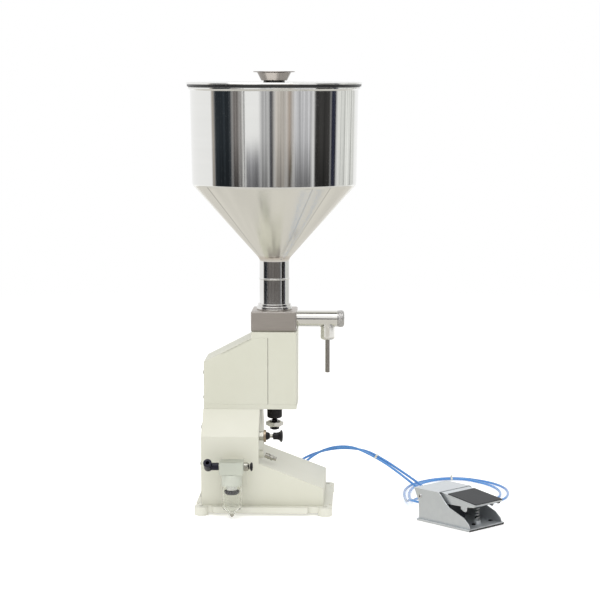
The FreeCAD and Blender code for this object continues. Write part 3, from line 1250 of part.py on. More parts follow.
def tube_tie(number):
    """A tie round both tubes, at the middle of the run that starts at the numbered point."""
    middles = [(Vector(*points[number]) + Vector(*points[number + 1])) * 0.5 for points in (TUBE_A, TUBE_B)]
    ahead = (Vector(*TUBE_A[number + 1]) - Vector(*TUBE_A[number])).normalize()
    across = (middles[1] - middles[0]) * 0.5
    above = ahead.cross(across).normalize()
    wide = s.tie_wide.value
    head = s.tie_head.value
    bore = (s.tube_r + s.run_gap).value
    start = (middles[0] + middles[1]) * 0.5 - ahead * (wide / 2)
    outside = Part.Face(stadium(start, across, above, bore + s.tie_thick.value)).extrude(ahead * wide)
    inside = Part.Face(stadium(start - ahead * wide, across, above, bore)).extrude(ahead * wide * 3)
    block = Part.makeBox(wide, head, head)
    beside = above.cross(ahead)
    block.Placement = FreeCAD.Placement(start - beside * (head / 2) + above * (bore + s.tie_thick.value / 2),
                                        Rotation(ahead, beside, above))
    return outside.fuse(block).cut(inside)


def cable_ties():
    """The two ties, on the runs that the tubes share side by side, counted from the machine."""
    tied_runs = [5, 19]
    solid_part("cable_ties", Part.makeCompound([tube_tie(number) for number in tied_runs]))


def build():
    base_casting()
    lower_body()
    rear_access_panel()
    head_base_plate()
    head_front()
    head_rear_cover()
    cylinders()
    piston_line()
    stroke_stop()
    valve_block()
    hopper_collar()
    hopper()
    inlet_valve()
    lid()
    outlet()
    push_pull_valve()
    speed_valve()
    air_filter()
    filter_fittings()
    control_valve()
    tube_exits()
    foot_base()
    foot_housing()
    foot_tread()
    foot_valve_unit()
    air_tube("air_tube_a", TUBE_A)
    air_tube("air_tube_b", TUBE_B)
    cable_ties()
    solid_part("machine_screws", Part.makeCompound(machine_screws))


def save():
    """Check every object and every sub-part, then write one file for each sub-part."""
    doc.recompute()
    failed = [item.Label for item in doc.Objects if {"Invalid", "Error"} & set(item.State)]
    failed += [part.Label for part in parts if part.Shape.isNull() or not part.Shape.isValid()]
    if failed:
        raise SystemExit("these objects failed: " + ", ".join(failed))
    os.makedirs("parts", exist_ok=True)
    for part in parts:
        part.Shape.exportStep("parts/%s.step" % part.Label)
    print("%d sub-parts" % len(parts))


build()
save()
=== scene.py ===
import math

import bmesh
import bpy
from mathutils import Matrix, Vector


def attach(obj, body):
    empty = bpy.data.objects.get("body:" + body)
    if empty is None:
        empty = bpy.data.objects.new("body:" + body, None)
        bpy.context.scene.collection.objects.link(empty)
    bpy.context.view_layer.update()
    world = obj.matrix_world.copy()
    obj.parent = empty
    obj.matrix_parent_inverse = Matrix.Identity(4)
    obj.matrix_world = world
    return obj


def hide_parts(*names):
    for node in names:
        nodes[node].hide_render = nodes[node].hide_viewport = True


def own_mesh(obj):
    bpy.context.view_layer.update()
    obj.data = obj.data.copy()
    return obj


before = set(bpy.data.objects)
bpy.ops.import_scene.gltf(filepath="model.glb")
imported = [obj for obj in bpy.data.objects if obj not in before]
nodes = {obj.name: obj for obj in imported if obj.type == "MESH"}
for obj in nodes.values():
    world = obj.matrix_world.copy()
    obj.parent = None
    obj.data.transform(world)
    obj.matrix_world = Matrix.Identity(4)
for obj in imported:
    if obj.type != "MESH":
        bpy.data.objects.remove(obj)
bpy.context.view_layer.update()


# Camera
# It stands level with the hopper, three metres off, and looks a little down and to the rear panel.
camera_data = bpy.data.cameras.new("camera")
camera_data.sensor_width = 36
camera_data.lens = 115.866
camera = bpy.data.objects.new("camera", camera_data)
camera.location = (0.17275, -3.0794, 0.7028)
camera.rotation_euler = (math.pi / 2 - 0.1195, 0, 0.0382)
bpy.context.scene.collection.objects.link(camera)
bpy.context.scene.camera = camera
bpy.context.scene.view_settings.view_transform = "Standard"


# Air tubes from the lower body to the foot valve
# Two 4 mm polyurethane tubes, clear blue and glossy, pushed into fittings at both ends.
# They lie side by side on the floor in one loose loop, held by two small ties.
def add(tree, kind, inputs=(), **settings):
    """A node with its settings; an input is a value or another node's output."""
    node = tree.nodes.new("ShaderNode" + kind)
    for name, value in settings.items():
        setattr(node, name, value)
    for name, value in dict(inputs).items():
        if isinstance(value, bpy.types.NodeSocket):
            tree.links.new(value, node.inputs[name])
        else:
            node.inputs[name].default_value = value
    return node


def new_group(name, inputs, outputs):
    """An empty shader group with named sockets, given as name: (kind, value) and name: kind."""
    group = bpy.data.node_groups.new(name, "ShaderNodeTree")
    for label, (kind, value) in inputs.items():
        socket = group.interface.new_socket(label, in_out="INPUT", socket_type="NodeSocket" + kind)
        if value is not None:
            socket.default_value = value
    for label, kind in outputs.items():
        group.interface.new_socket(label, in_out="OUTPUT", socket_type="NodeSocket" + kind)
    entry = group.nodes.new("NodeGroupInput")
    way_out = group.nodes.new("NodeGroupOutput")
    return group, entry.outputs, way_out.inputs


edges, given, out = new_group("worn edges", {"Radius": ("Float", 0.0006)}, {"Normal": "Vector",
                                                                            "Edge": "Float"})
rounded = add(edges, "Bevel", {"Radius": given["Radius"]}, samples=6)
flat = add(edges, "NewGeometry")
agree = add(edges, "VectorMath", {0: rounded.outputs["Normal"], 1: flat.outputs["Normal"]},
            operation="DOT_PRODUCT")
turned_away = add(edges, "MapRange", {"Value": agree.outputs["Value"], "From Min": 1.0, "From Max": 0.9,
                                      "To Min": 0.0, "To Max": 1.0})
edges.links.new(rounded.outputs["Normal"], out["Normal"])
edges.links.new(turned_away.outputs["Result"], out["Edge"])

grain, given, out = new_group("fine grain", {"Vector": ("Vector", None), "Scale": ("Float", 900.0),
                                             "Patches": ("Float", 14.0)}, {"Height": "Float",
                                             "Patch": "Float"})
fine = add(grain, "TexNoise", {"Vector": given["Vector"], "Scale": given["Scale"], "Detail": 3.0})
wide = add(grain, "TexNoise", {"Vector": given["Vector"], "Scale": given["Patches"], "Detail": 4.0})
grain.links.new(fine.outputs["Fac"], out["Height"])
grain.links.new(wide.outputs["Fac"], out["Patch"])


def new_material(name):
    """A material with its own shader, and the piece's own coordinates."""
    material = bpy.data.materials.new(name)
    material.use_nodes = True
    tree = material.node_tree
    shader = tree.nodes["Principled BSDF"]
    place = add(tree, "TexCoord").outputs["Object"]
    return material, tree, shader, place


def placed(tree, group, inputs):
    """A shared effect placed in a material with its own values."""
    node = tree.nodes.new("ShaderNodeGroup")
    node.node_tree = group
    for name, value in inputs.items():
        if isinstance(value, bpy.types.NodeSocket):
            tree.links.new(value, node.inputs[name])
        else:
            node.inputs[name].default_value = value
    return node.outputs


def blended(tree, mask, first, second):
    """The first colour where the mask is 0, and the second where it is 1."""
    node = add(tree, "Mix", data_type="RGBA")
    for name, value in (("Factor", mask), ("A", first), ("B", second)):
        socket = [s for s in node.inputs if s.name == name and s.enabled][0]
        if isinstance(value, bpy.types.NodeSocket):
            tree.links.new(value, socket)
        else:
            socket.default_value = value
    return [s for s in node.outputs if s.enabled][0]


def ranged(tree, value, low, high, start=0.0, end=1.0):
    """A value between low and high, spread from start to end."""
    return add(tree, "MapRange", {"Value": value, "From Min": start, "From Max": end, "To Min": low,
                                  "To Max": high}).outputs["Result"]


def bumped(tree, shader, height, normal, distance, strength=1.0):
    """Fine relief on the shader's normal."""
    bump = add(tree, "Bump", {"Height": height, "Normal": normal, "Distance": distance,
                              "Strength": strength})
    tree.links.new(bump.outputs["Normal"], shader.inputs["Normal"])


def tube_material():
    """Clear blue hose: deeper and paler stretches, a wet gloss and faint extrusion grain."""
    material, tree, shader, place = new_material("blue polyurethane")
    skin = placed(tree, grain, {"Vector": place, "Scale": 300.0, "Patches": 18.0})
    tone = blended(tree, skin["Patch"], (0.040, 0.205, 0.56, 1), (0.080, 0.31, 0.69, 1))
    tree.links.new(tone, shader.inputs["Base Color"])
    tree.links.new(ranged(tree, skin["Patch"], 0.10, 0.20), shader.inputs["Roughness"])
    shader.inputs["Subsurface Weight"].default_value = 0.30
    shader.inputs["Subsurface Radius"].default_value = (0.001, 0.002, 0.003)
    shader.inputs["Specular IOR Level"].default_value = 0.8
    tree.links.new(ranged(tree, skin["Patch"], 0.3, 0.6), shader.inputs["Coat Weight"])
    bumped(tree, shader, skin["Height"], placed(tree, edges, {"Radius": 0.0002})["Normal"], 0.00001, 0.3)
    return material


def moulded(name, colour, rough, grain_scale=1300.0, relief=0.00004, sheen=0.45):
    """Injection moulded or blackened surface with a fine even texture and rubbed edges."""
    material, tree, shader, place = new_material(name)
    skin = placed(tree, grain, {"Vector": place, "Scale": grain_scale, "Patches": 30.0})
    worn = placed(tree, edges, {"Radius": 0.0004})
    lighter = tuple(min(value * 1.7 + 0.012, 1) for value in colour)
    tone = blended(tree, ranged(tree, skin["Patch"], 0.0, 0.5, 0.35, 0.7), (*colour, 1),
                   (*(value * 0.8 for value in colour), 1))
    rubbed = blended(tree, ranged(tree, worn["Edge"], 0.0, 0.4), tone, (*lighter, 1))
    tree.links.new(rubbed, shader.inputs["Base Color"])
    tree.links.new(ranged(tree, skin["Patch"], rough - 0.05, rough + 0.07), shader.inputs["Roughness"])
    shader.inputs["Specular IOR Level"].default_value = sheen
    bumped(tree, shader, skin["Height"], worn["Normal"], relief, 0.4)
    return material


def dress(material, *names):
    """Gives CAD nodes their material."""
    for name in names:
        for holder in nodes[name].material_slots:
            holder.material = material


blue_tube = tube_material()


def air_tube(name, node, route):
    """One tube on its route, as a smooth curve, standing for its CAD node."""
    curve = bpy.data.curves.new(name, "CURVE")
    curve.dimensions = "3D"
    line = curve.splines.new("NURBS")
    line.points.add(len(route) - 1)
    for point, (x, y, z) in zip(line.points, route):
        point.co = (x, y, z, 1)
    line.order_u = 3
    line.use_endpoint_u = True
    line.resolution_u = 10
    curve.bevel_depth = 0.002
    curve.bevel_resolution = 5
    curve.use_fill_caps = True
    curve.materials.append(blue_tube)
    tube = bpy.data.objects.new(name, curve)
    bpy.context.scene.collection.objects.link(tube)
    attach(tube, "machine")
    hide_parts(node)


outer_route = [(0.058, 0.085, 0.044), (0.058, 0.114, 0.044), (0.080, 0.131, 0.058), (0.108, 0.127, 0.069),
               (0.138, 0.118, 0.071), (0.164, 0.108, 0.062), (0.192, 0.100, 0.048), (0.216, 0.094, 0.032),
               (0.238, 0.082, 0.017), (0.258, 0.056, 0.006), (0.282, 0.022, 0.002), (0.312, 0.000, 0.002),
               (0.346, -0.004, 0.002), (0.374, 0.010, 0.002), (0.392, 0.040, 0.002), (0.399, 0.080, 0.002),
               (0.396, 0.118, 0.002), (0.380, 0.152, 0.002), (0.356, 0.176, 0.002), (0.326, 0.189, 0.003),
               (0.290, 0.186, 0.003), (0.260, 0.168, 0.002), (0.238, 0.138, 0.002), (0.227, 0.100, 0.002),
               (0.225, 0.062, 0.002), (0.227, 0.024, 0.002), (0.229, -0.014, 0.007),
               (0.2315, -0.044, 0.017), (0.2384, -0.066, 0.020), (0.2596, -0.0872, 0.020)]
inner_route = [(0.047, 0.085, 0.044), (0.047, 0.118, 0.044), (0.070, 0.136, 0.054), (0.104, 0.134, 0.064),
               (0.137, 0.125, 0.067), (0.1661, 0.11095, 0.0645), (0.1941, 0.10295, 0.0505),
               (0.217, 0.099, 0.036), (0.240, 0.090, 0.022), (0.262, 0.066, 0.010), (0.284, 0.034, 0.003),
               (0.308, 0.013, 0.002), (0.338, 0.006, 0.002), (0.364, 0.016, 0.002), (0.380, 0.042, 0.002),
               (0.386, 0.076, 0.002), (0.383, 0.110, 0.002), (0.370, 0.142, 0.002), (0.352, 0.165, 0.002),
               (0.3264, 0.1846, 0.003), (0.2904, 0.1816, 0.003), (0.264, 0.162, 0.002),
               (0.246, 0.132, 0.002), (0.236, 0.096, 0.002), (0.233, 0.060, 0.002), (0.235, 0.024, 0.002),
               (0.239, -0.010, 0.008), (0.2435, -0.034, 0.017), (0.2511, -0.0533, 0.020),
               (0.2723, -0.0745, 0.020)]
air_tube("blue_tube_outer", "air_tube_a", outer_route)
air_tube("blue_tube_inner", "air_tube_b", inner_route)
dress(moulded("natural nylon tie", (0.70, 0.70, 0.64), 0.30), "cable_ties")


# Base casting, lower body and head
# Sheet steel and a low iron casting, sprayed with cream enamel and stoved; the body's and the casting's
# cream is painted lighter than the head's, as painted light on the lower parts.
# The sheets are spot welded; the casting shows a coarser skin under its paint.
# Darkens upward-facing faces in cloudy patches: a little real dust on the enamel, and painted shade on the
# filter head's top face.
dust_and_top_shade, given, out = new_group("dust and painted top shade", {"Vector": ("Vector", None), "Amount": ("Float", 0.15)},
                             {"Dust and top shade": "Float"})
facing = add(dust_and_top_shade, "NewGeometry")
height = add(dust_and_top_shade, "SeparateXYZ", {0: facing.outputs["Normal"]})
upward = add(dust_and_top_shade, "MapRange", {"Value": height.outputs["Z"], "From Min": 0.4, "From Max": 1.0})
cloud = add(dust_and_top_shade, "TexNoise", {"Vector": given["Vector"], "Scale": 45.0, "Detail": 6.0})
upward_dust_and_shade = add(dust_and_top_shade, "Math", {0: upward.outputs["Result"], 1: cloud.outputs["Fac"]}, operation="MULTIPLY")
settled = add(dust_and_top_shade, "Math", {0: upward_dust_and_shade.outputs["Value"], 1: given["Amount"]}, operation="MULTIPLY")
dust_and_top_shade.links.new(settled.outputs["Value"], out["Dust and top shade"])


def enamel(name, colour, peel, peel_depth, edge_radius):
    """Stoved enamel: orange peel, faint uneven tone, a little dust and thin paint on edges."""
    material, tree, shader, place = new_material(name)
    skin = placed(tree, grain, {"Vector": place, "Scale": peel, "Patches": 9.0})
    worn = placed(tree, edges, {"Radius": edge_radius})
    upward_dust_and_shade = placed(tree, dust_and_top_shade, {"Vector": place, "Amount": 0.10})
    red, green, blue = colour
    darker = (red * 0.95, green * 0.95, blue * 0.93, 1)
    tone = blended(tree, ranged(tree, skin["Patch"], 0.0, 1.0, 0.35, 0.65), (*colour, 1), darker)
    thin = blended(tree, ranged(tree, worn["Edge"], 0.0, 0.35), tone, (red * 1.12, green * 1.1,
                                                                       blue * 1.12, 1))
    dusty = blended(tree, upward_dust_and_shade["Dust and top shade"], thin, (0.62, 0.60, 0.55, 1))
    tree.links.new(dusty, shader.inputs["Base Color"])
    tree.links.new(ranged(tree, skin["Patch"], 0.36, 0.46), shader.inputs["Roughness"])
    shader.inputs["Specular IOR Level"].default_value = 0.42
    bumped(tree, shader, skin["Height"], worn["Normal"], peel_depth, 0.35)
    return material


sheet_paint = enamel("cream enamel on sheet", (0.600, 0.598, 0.508), 1100.0, 0.00003, 0.0012)
# Lighter copies of the head's cream: painted light for the dimmer lower body and base.
body_paint_lightened = enamel("cream enamel on the body, painted lighter", (0.655, 0.650, 0.562), 1100.0, 0.00003, 0.0012)
cast_paint_lightened = enamel("cream enamel on casting, painted lighter", (0.690, 0.684, 0.605), 420.0, 0.00010, 0.0020)
dress(cast_paint_lightened, "base_casting")
dress(body_paint_lightened, "lower_body", "rear_access_panel")
dress(sheet_paint, "head_base_plate", "head_front", "head_rear_cover")


# Screws of the covers, the cylinder and the foot valve
# M4 pan heads with a cross recess, zinc plated on the machine and blackened on the foot valve.
def spun(corners, steps=72, round_steps=3):
    """A turned shape about Z. A corner is radius, height and, if it is rounded, how far back from it."""
    shape = bmesh.new()
    path = [shape.verts.new((corner[0], 0, corner[1])) for corner in corners]
    pairs = list(zip(path, path[1:]))
    if corners[0][0] > 0:
        pairs.append((path[-1], path[0]))
    for start, end in pairs:
        if start.co.x > 0 or end.co.x > 0:
            shape.edges.new((start, end))
    for vertex, corner in zip(path, corners):
        if len(corner) > 2:
            bmesh.ops.bevel(shape, geom=[vertex], offset=corner[2], offset_type="OFFSET",
                            segments=round_steps, profile=0.5, affect="VERTICES", material=-1)
    bmesh.ops.spin(shape, geom=shape.verts[:] + shape.edges[:], cent=(0, 0, 0), axis=(0, 0, 1),
                   angle=2 * math.pi, steps=steps, use_merge=True)
    bmesh.ops.remove_doubles(shape, verts=shape.verts, dist=1e-7)
    bmesh.ops.recalc_face_normals(shape, faces=shape.faces)
    return shape


def laid(shape, centre, direction=(0, 0, 1), roll=0.0):
    """A shape moved to its place, with its Z turned to a direction."""
    turn = Vector((0, 0, 1)).rotation_difference(Vector(direction)).to_matrix().to_4x4()
    turn = Matrix.Translation(centre) @ turn @ Matrix.Rotation(roll, 4, "Z")
    bmesh.ops.transform(shape, matrix=turn, verts=shape.verts)
    return shape


def block(size, centre, edge=0.0, steps=2, turn=0.0):
    """A box by its three sizes and its centre, with all its edges rounded, turned about Z."""
    shape = bmesh.new()
    bmesh.ops.create_cube(shape, size=1.0)
    bmesh.ops.scale(shape, vec=size, verts=shape.verts)
    if edge:
        bmesh.ops.bevel(shape, geom=shape.edges[:], offset=edge, offset_type="OFFSET", segments=steps,
                        profile=0.5, affect="EDGES", material=-1)
    bmesh.ops.transform(shape, matrix=Matrix.Translation(centre) @ Matrix.Rotation(turn, 4, "Z"),
                        verts=shape.verts)
    return shape


def joined(*shapes):
    """Several shapes as one, side by side."""
    whole = bmesh.new()
    for shape in shapes:
        mesh = bpy.data.meshes.new("side by side")
        shape.to_mesh(mesh)
        shape.free()
        whole.from_mesh(mesh)
        bpy.data.meshes.remove(mesh)
    return whole


def carved(shape, tool, how="DIFFERENCE"):
    """A shape with a tool taken away from it, or with another shape welded to it."""
    things = []
    for label, form in (("work", shape), ("tool", tool)):
        mesh = bpy.data.meshes.new(label)
        form.to_mesh(mesh)
        form.free()
        thing = bpy.data.objects.new(label, mesh)
        bpy.context.scene.collection.objects.link(thing)
        things.append(thing)
    work, knife = things
    carve = work.modifiers.new("carve", "BOOLEAN")
    carve.object = knife
    carve.operation = how
    carve.solver = "EXACT"
    result = bmesh.new()
    result.from_object(work, bpy.context.evaluated_depsgraph_get())
    for thing in things:
        mesh = thing.data
        bpy.data.objects.remove(thing)
        bpy.data.meshes.remove(mesh)
    return result


def piece(name, shape, material, body, finish, *stands_for, angle=35):
    """A finished shape as a piece on its body, in place of its nodes."""
    bmesh.ops.remove_doubles(shape, verts=shape.verts, dist=1e-7)
    mesh = bpy.data.meshes.new(name)
    shape.to_mesh(mesh)
    shape.free()
    mesh.materials.append(material)
    mesh.shade_smooth()
    mesh.set_sharp_from_angle(angle=math.radians(angle))
    thing = bpy.data.objects.new(name, mesh)
    bpy.context.scene.collection.objects.link(thing)
    weigh = thing.modifiers.new("large faces lead", "WEIGHTED_NORMAL")
    weigh.keep_sharp = True
    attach(thing, body)
    if stands_for:
        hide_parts(*stands_for)
    return thing


def centred(tree, place, centre, turn=(0, 0, 0)):
    """Coordinates measured from the piece's own axis, turned so that the axis is Z."""
    moved = add(tree, "Mapping", {"Vector": place, "Location": [-value for value in centre]})
    return add(tree, "Mapping", {"Vector": moved.outputs["Vector"], "Rotation": turn}).outputs["Vector"]


turned_lines, given, out = new_group("turned lines", {"Vector": ("Vector", None),
                                                      "Lines": ("Float", 900.0)}, {"Height": "Float",
                                                      "Streak": "Float"})
split = add(turned_lines, "SeparateXYZ", {0: given["Vector"]})
across = add(turned_lines, "CombineXYZ", {"X": split.outputs["X"], "Y": split.outputs["Y"]})
radius = add(turned_lines, "VectorMath", {0: across.outputs["Vector"]}, operation="LENGTH")
rings = add(turned_lines, "CombineXYZ", {"X": radius.outputs["Value"], "Y": split.outputs["Z"]})
lines = add(turned_lines, "TexNoise", {"Vector": rings.outputs["Vector"], "Scale": given["Lines"],
                                       "Detail": 2.0})
streak = add(turned_lines, "TexNoise", {"Vector": rings.outputs["Vector"], "Scale": 60.0, "Detail": 3.0})
turned_lines.links.new(lines.outputs["Fac"], out["Height"])
turned_lines.links.new(streak.outputs["Fac"], out["Streak"])


def steel(name, colour, rough_low, rough_high, lines, depth, centre=(0, 0, 0), turn=(0, 0, 0), edge=0.0004):
    """Bright metal with fine turning lines about its own axis and softened edges."""
    material, tree, shader, place = new_material(name)
    own = centred(tree, place, centre, turn)
    mark = placed(tree, turned_lines, {"Vector": own, "Lines": lines})
    worn = placed(tree, edges, {"Radius": edge})
    smear = placed(tree, grain, {"Vector": place, "Scale": 120.0, "Patches": 11.0})
    red, green, blue = colour
    tone = blended(tree, mark["Streak"], (red * 0.94, green * 0.94, blue * 0.94, 1), (*colour, 1))
    bright = blended(tree, ranged(tree, worn["Edge"], 0.0, 0.5), tone, (0.93, 0.93, 0.92, 1))
    tree.links.new(bright, shader.inputs["Base Color"])
    shader.inputs["Metallic"].default_value = 1.0
    tree.links.new(ranged(tree, smear["Patch"], rough_low, rough_high, 0.3, 0.7), shader.inputs["Roughness"])
    bumped(tree, shader, mark["Height"], worn["Normal"], depth, 0.3)
    return material


def ground_steel(name, colour, rough_low, rough_high, stretch):
    """Surface-ground metal: long parallel scratches and a satin sheen."""
    material, tree, shader, place = new_material(name)
    drawn = add(tree, "Mapping", {"Vector": place, "Scale": stretch}).outputs["Vector"]
    scratch = placed(tree, grain, {"Vector": drawn, "Scale": 700.0, "Patches": 30.0})
    smear = placed(tree, grain, {"Vector": place, "Scale": 90.0, "Patches": 16.0})
    worn = placed(tree, edges, {"Radius": 0.0007})
    red, green, blue = colour
    tone = blended(tree, scratch["Height"], (red * 0.82, green * 0.82, blue * 0.82, 1), (*colour, 1))
    bright = blended(tree, ranged(tree, worn["Edge"], 0.0, 0.8), tone, (0.92, 0.92, 0.91, 1))
    tree.links.new(bright, shader.inputs["Base Color"])
    shader.inputs["Metallic"].default_value = 1.0
    tree.links.new(ranged(tree, smear["Patch"], rough_low, rough_high, 0.3, 0.7), shader.inputs["Roughness"])
    bumped(tree, shader, scratch["Height"], worn["Normal"], 0.00002, 0.35)
    return material


def foot_place(along, across, up=0.0):
    """A place of the foot valve's frame, which is turned to the viewer, in the machine's frame."""
    return foot_origin + Matrix.Rotation(foot_turn, 3, "Z") @ Vector((along, across, up))


foot_origin = Vector((0.3098, -0.1247, 0))
foot_turn = math.radians(-45)
screw_shank_r = 0.0019


def pan_screw(long):
    """A pan head with a cross recess and its shank, head up from Z 0."""
    shape = spun([(0, -long), (screw_shank_r, -long, 0.0003), (screw_shank_r, 0), (0.0034, 0, 0.0003),
                  (0.0033, 0.0016, 0.0012), (0, 0.0020)], steps=24)
    for size in ((0.0034, 0.0007, 0.0022), (0.0007, 0.0034, 0.0022)):
        shape = carved(shape, block(size, (0, 0, 0.0020)))
    return shape


zinc_finish = ground_steel("zinc plate", (0.66, 0.66, 0.64), 0.30, 0.44, (1.0, 1.0, 0.2))
black_oxide = moulded("black oxide", (0.008, 0.008, 0.010), 0.34, sheen=0.2)
rear_screws = [(-0.0995, side * 0.064, level) for side in (-1, 1) for level in (0.026, 0.078)]
rear_screws += [(-0.0995, side * 0.048, 0.134) for side in (-1, 1)]
cover_screws = [(-0.097, side * 0.034, level) for side in (-1, 1) for level in (0.180, 0.220)]
deck_screws = [(0.014 + 0.022 * side, 0.022 * far, 0.238) for side in (-1, 1) for far in (-1, 1)]
plated = [laid(pan_screw(0.0014), place, (-1, 0, 0)) for place in rear_screws + cover_screws]
plated += [laid(pan_screw(0.0155), place) for place in deck_screws]
piece("plated_screws", joined(*plated), zinc_finish, "machine", "galvanised", "machine_screws")
foot_screws = [(0.036, -0.009), (0.036, 0.030), (0.008, -0.025), (0.008, 0.030)]
blackened = [laid(pan_screw(0.0036), foot_place(u, v, 0.004), roll=u * 40) for u, v in foot_screws]
piece("foot_base_screws", joined(*blackened), black_oxide, "machine", "black_oxide")


# Hopper
# Stainless sheet, rolled and seam welded to a spun cone and a drawn neck, then mirror polished.
# The rim is rolled over a wire, and a fine weld bead rings the neck where it meets the cone's spigot.
axis = (0.014, 0.0, 0.0)
mirror_steel, tree, shader, place = new_material("polished hopper stainless")
mark = placed(tree, turned_lines, {"Vector": centred(tree, place, axis), "Lines": 500.0})
smear = placed(tree, grain, {"Vector": place, "Scale": 120.0, "Patches": 11.0})
level = add(tree, "SeparateXYZ", {0: place}).outputs["Z"]
on_cone = ranged(tree, level, 1.0, 0.0, 0.5175, 0.5195)
above_neck = ranged(tree, level, 0.0, 1.0, 0.395, 0.405)


def worked(tree, operation, *values):
    """One step of arithmetic on masks."""
    return add(tree, "Math", dict(enumerate(values)), operation=operation).outputs["Value"]


satin = worked(tree, "MULTIPLY", on_cone, above_neck)
tone = blended(tree, mark["Streak"], (0.745, 0.745, 0.725, 1), (0.80, 0.80, 0.78, 1))
own = add(tree, "SeparateXYZ", {0: centred(tree, place, axis)})
turn = worked(tree, "ARCTAN2", own.outputs["X"], own.outputs["Y"])
# Three thin dark radial lines darken the cone's colour at fixed angles: painted reflections of dark things
# standing round the machine.
dark_radial_reflections = None
for angle, width, depth in ((-2.27, 0.020, 0.55), (2.36, 0.014, 0.40), (2.62, 0.012, 0.30)):
    apart = worked(tree, "SUBTRACT", turn, angle)
    away = worked(tree, "ABSOLUTE", apart)
    dark_radial_reflection = ranged(tree, away, depth, 0.0, 0.0, width)
    dark_radial_reflections = dark_radial_reflection if dark_radial_reflections is None else worked(tree, "MAXIMUM", dark_radial_reflections, dark_radial_reflection)
sheet_tone = blended(tree, dark_radial_reflections, (0.79, 0.78, 0.74, 1), (0.16, 0.16, 0.15, 1))
heat = ranged(tree, level, 0.55, 0.0, 0.4015, 0.4065)
sheet_tone = blended(tree, heat, sheet_tone, (0.50, 0.36, 0.27, 1))
tree.links.new(blended(tree, satin, tone, sheet_tone), shader.inputs["Base Color"])
shader.inputs["Metallic"].default_value = 1.0
polish = ranged(tree, smear["Patch"], 0.05, 0.10, 0.3, 0.7)
brushed = ranged(tree, smear["Patch"], 0.15, 0.21, 0.3, 0.7)
chosen = add(tree, "Mix", {"Factor": satin, "A": polish, "B": brushed}, data_type="FLOAT").outputs["Result"]
tree.links.new(chosen, shader.inputs["Roughness"])
bumped(tree, shader, mark["Height"], placed(tree, edges, {"Radius": 0.0004})["Normal"], 0.000004, 0.3)
hopper = spun([(0.0225, 0.324), (0.024, 0.324, 0.0004), (0.024, 0.3666), (0.0248, 0.3674, 0.0003),
               (0.0248, 0.3686, 0.0003), (0.024, 0.3694), (0.024, 0.400, 0.004), (0.131, 0.519, 0.003),
               (0.1338, 0.6688, 0.0008), (0.1352, 0.6692, 0.0006), (0.137, 0.6700, 0.0012),
               (0.137, 0.6738, 0.0014), (0.1325, 0.674, 0.0010), (0.1295, 0.5199, 0.003),
               (0.0225, 0.4009, 0.004)], steps=160, round_steps=4)
piece("hopper_shell", laid(hopper, axis), mirror_steel, "machine", "stainless", "hopper")


# Lid and its seal
# A stainless pressing with a turned-down skirt and a spigot that drops into the hopper's rim.
# A black rubber ring seals it, and shows as a dark line under the skirt.
def rubber(name, colour, rough, relief):
    """Moulded rubber with a dry bloom on its high spots."""
    material, tree, shader, place = new_material(name)
    skin = placed(tree, grain, {"Vector": place, "Scale": relief, "Patches": 40.0})
    worn = placed(tree, edges, {"Radius": 0.0005})
    grey = tuple(value * 1.9 + 0.01 for value in colour)
    tone = blended(tree, ranged(tree, skin["Patch"], 0.0, 0.45, 0.4, 0.8), (*colour, 1), (*grey, 1))
    rubbed = blended(tree, ranged(tree, worn["Edge"], 0.0, 0.3), tone, (*grey, 1))
    tree.links.new(rubbed, shader.inputs["Base Color"])
    tree.links.new(ranged(tree, skin["Patch"], rough - 0.06, rough + 0.08), shader.inputs["Roughness"])
    bumped(tree, shader, skin["Height"], worn["Normal"], 0.00006, 0.4)
    return material


lid_steel = steel("polished lid stainless", (0.82, 0.82, 0.80), 0.06, 0.13, 700.0, 0.000008, axis)
lid = spun([(0.003, 0.6795), (0.1275, 0.6795), (0.1275, 0.667, 0.0004), (0.129, 0.667, 0.0004),
            (0.129, 0.6795), (0.1387, 0.6795), (0.1387, 0.6777), (0.140, 0.6777, 0.0004),
            (0.140, 0.681, 0.0020), (0.112, 0.6806, 0.010), (0.003, 0.681)], steps=160, round_steps=4)
piece("lid_pressing", laid(lid, axis), lid_steel, "lid", "stainless", "lid")
seal_rubber = rubber("seal rubber", (0.012, 0.012, 0.013), 0.32, 1500.0)
lid_ring = spun([(0.1315, 0.674, 0.0008), (0.1385, 0.674, 0.0006), (0.1385, 0.6794, 0.0006),
                 (0.1315, 0.6794, 0.0008)], steps=160)
washer = spun([(0.003, 0.681), (0.017, 0.681), (0.017, 0.6834, 0.0008), (0.003, 0.6834)])
piece("lid_seal_and_washer", laid(joined(lid_ring, washer), axis), seal_rubber, "lid", "rubber", "lid_seals")


# Lid knob
# A turned stainless dish on a rubber washer, held by a screw and a nut under the lid.
knob_steel = steel("satin knob stainless", (0.37, 0.34, 0.315), 0.26, 0.36, 1200.0, 0.00002, axis)
knob = spun([(0, 0.6745), (0.006, 0.6745, 0.0006), (0.006, 0.6795), (0.003, 0.6795), (0.003, 0.6834),
             (0.0205, 0.6834, 0.0005), (0.0268, 0.6962, 0.0012), (0.033, 0.6966, 0.0003),
             (0.033, 0.698, 0.0006), (0.030, 0.698, 0.0006), (0.027, 0.6972, 0.0010),
             (0, 0.6972)], steps=96)
piece("lid_dish_knob", laid(knob, axis), knob_steel, "lid", "stainless", "lid_knob")


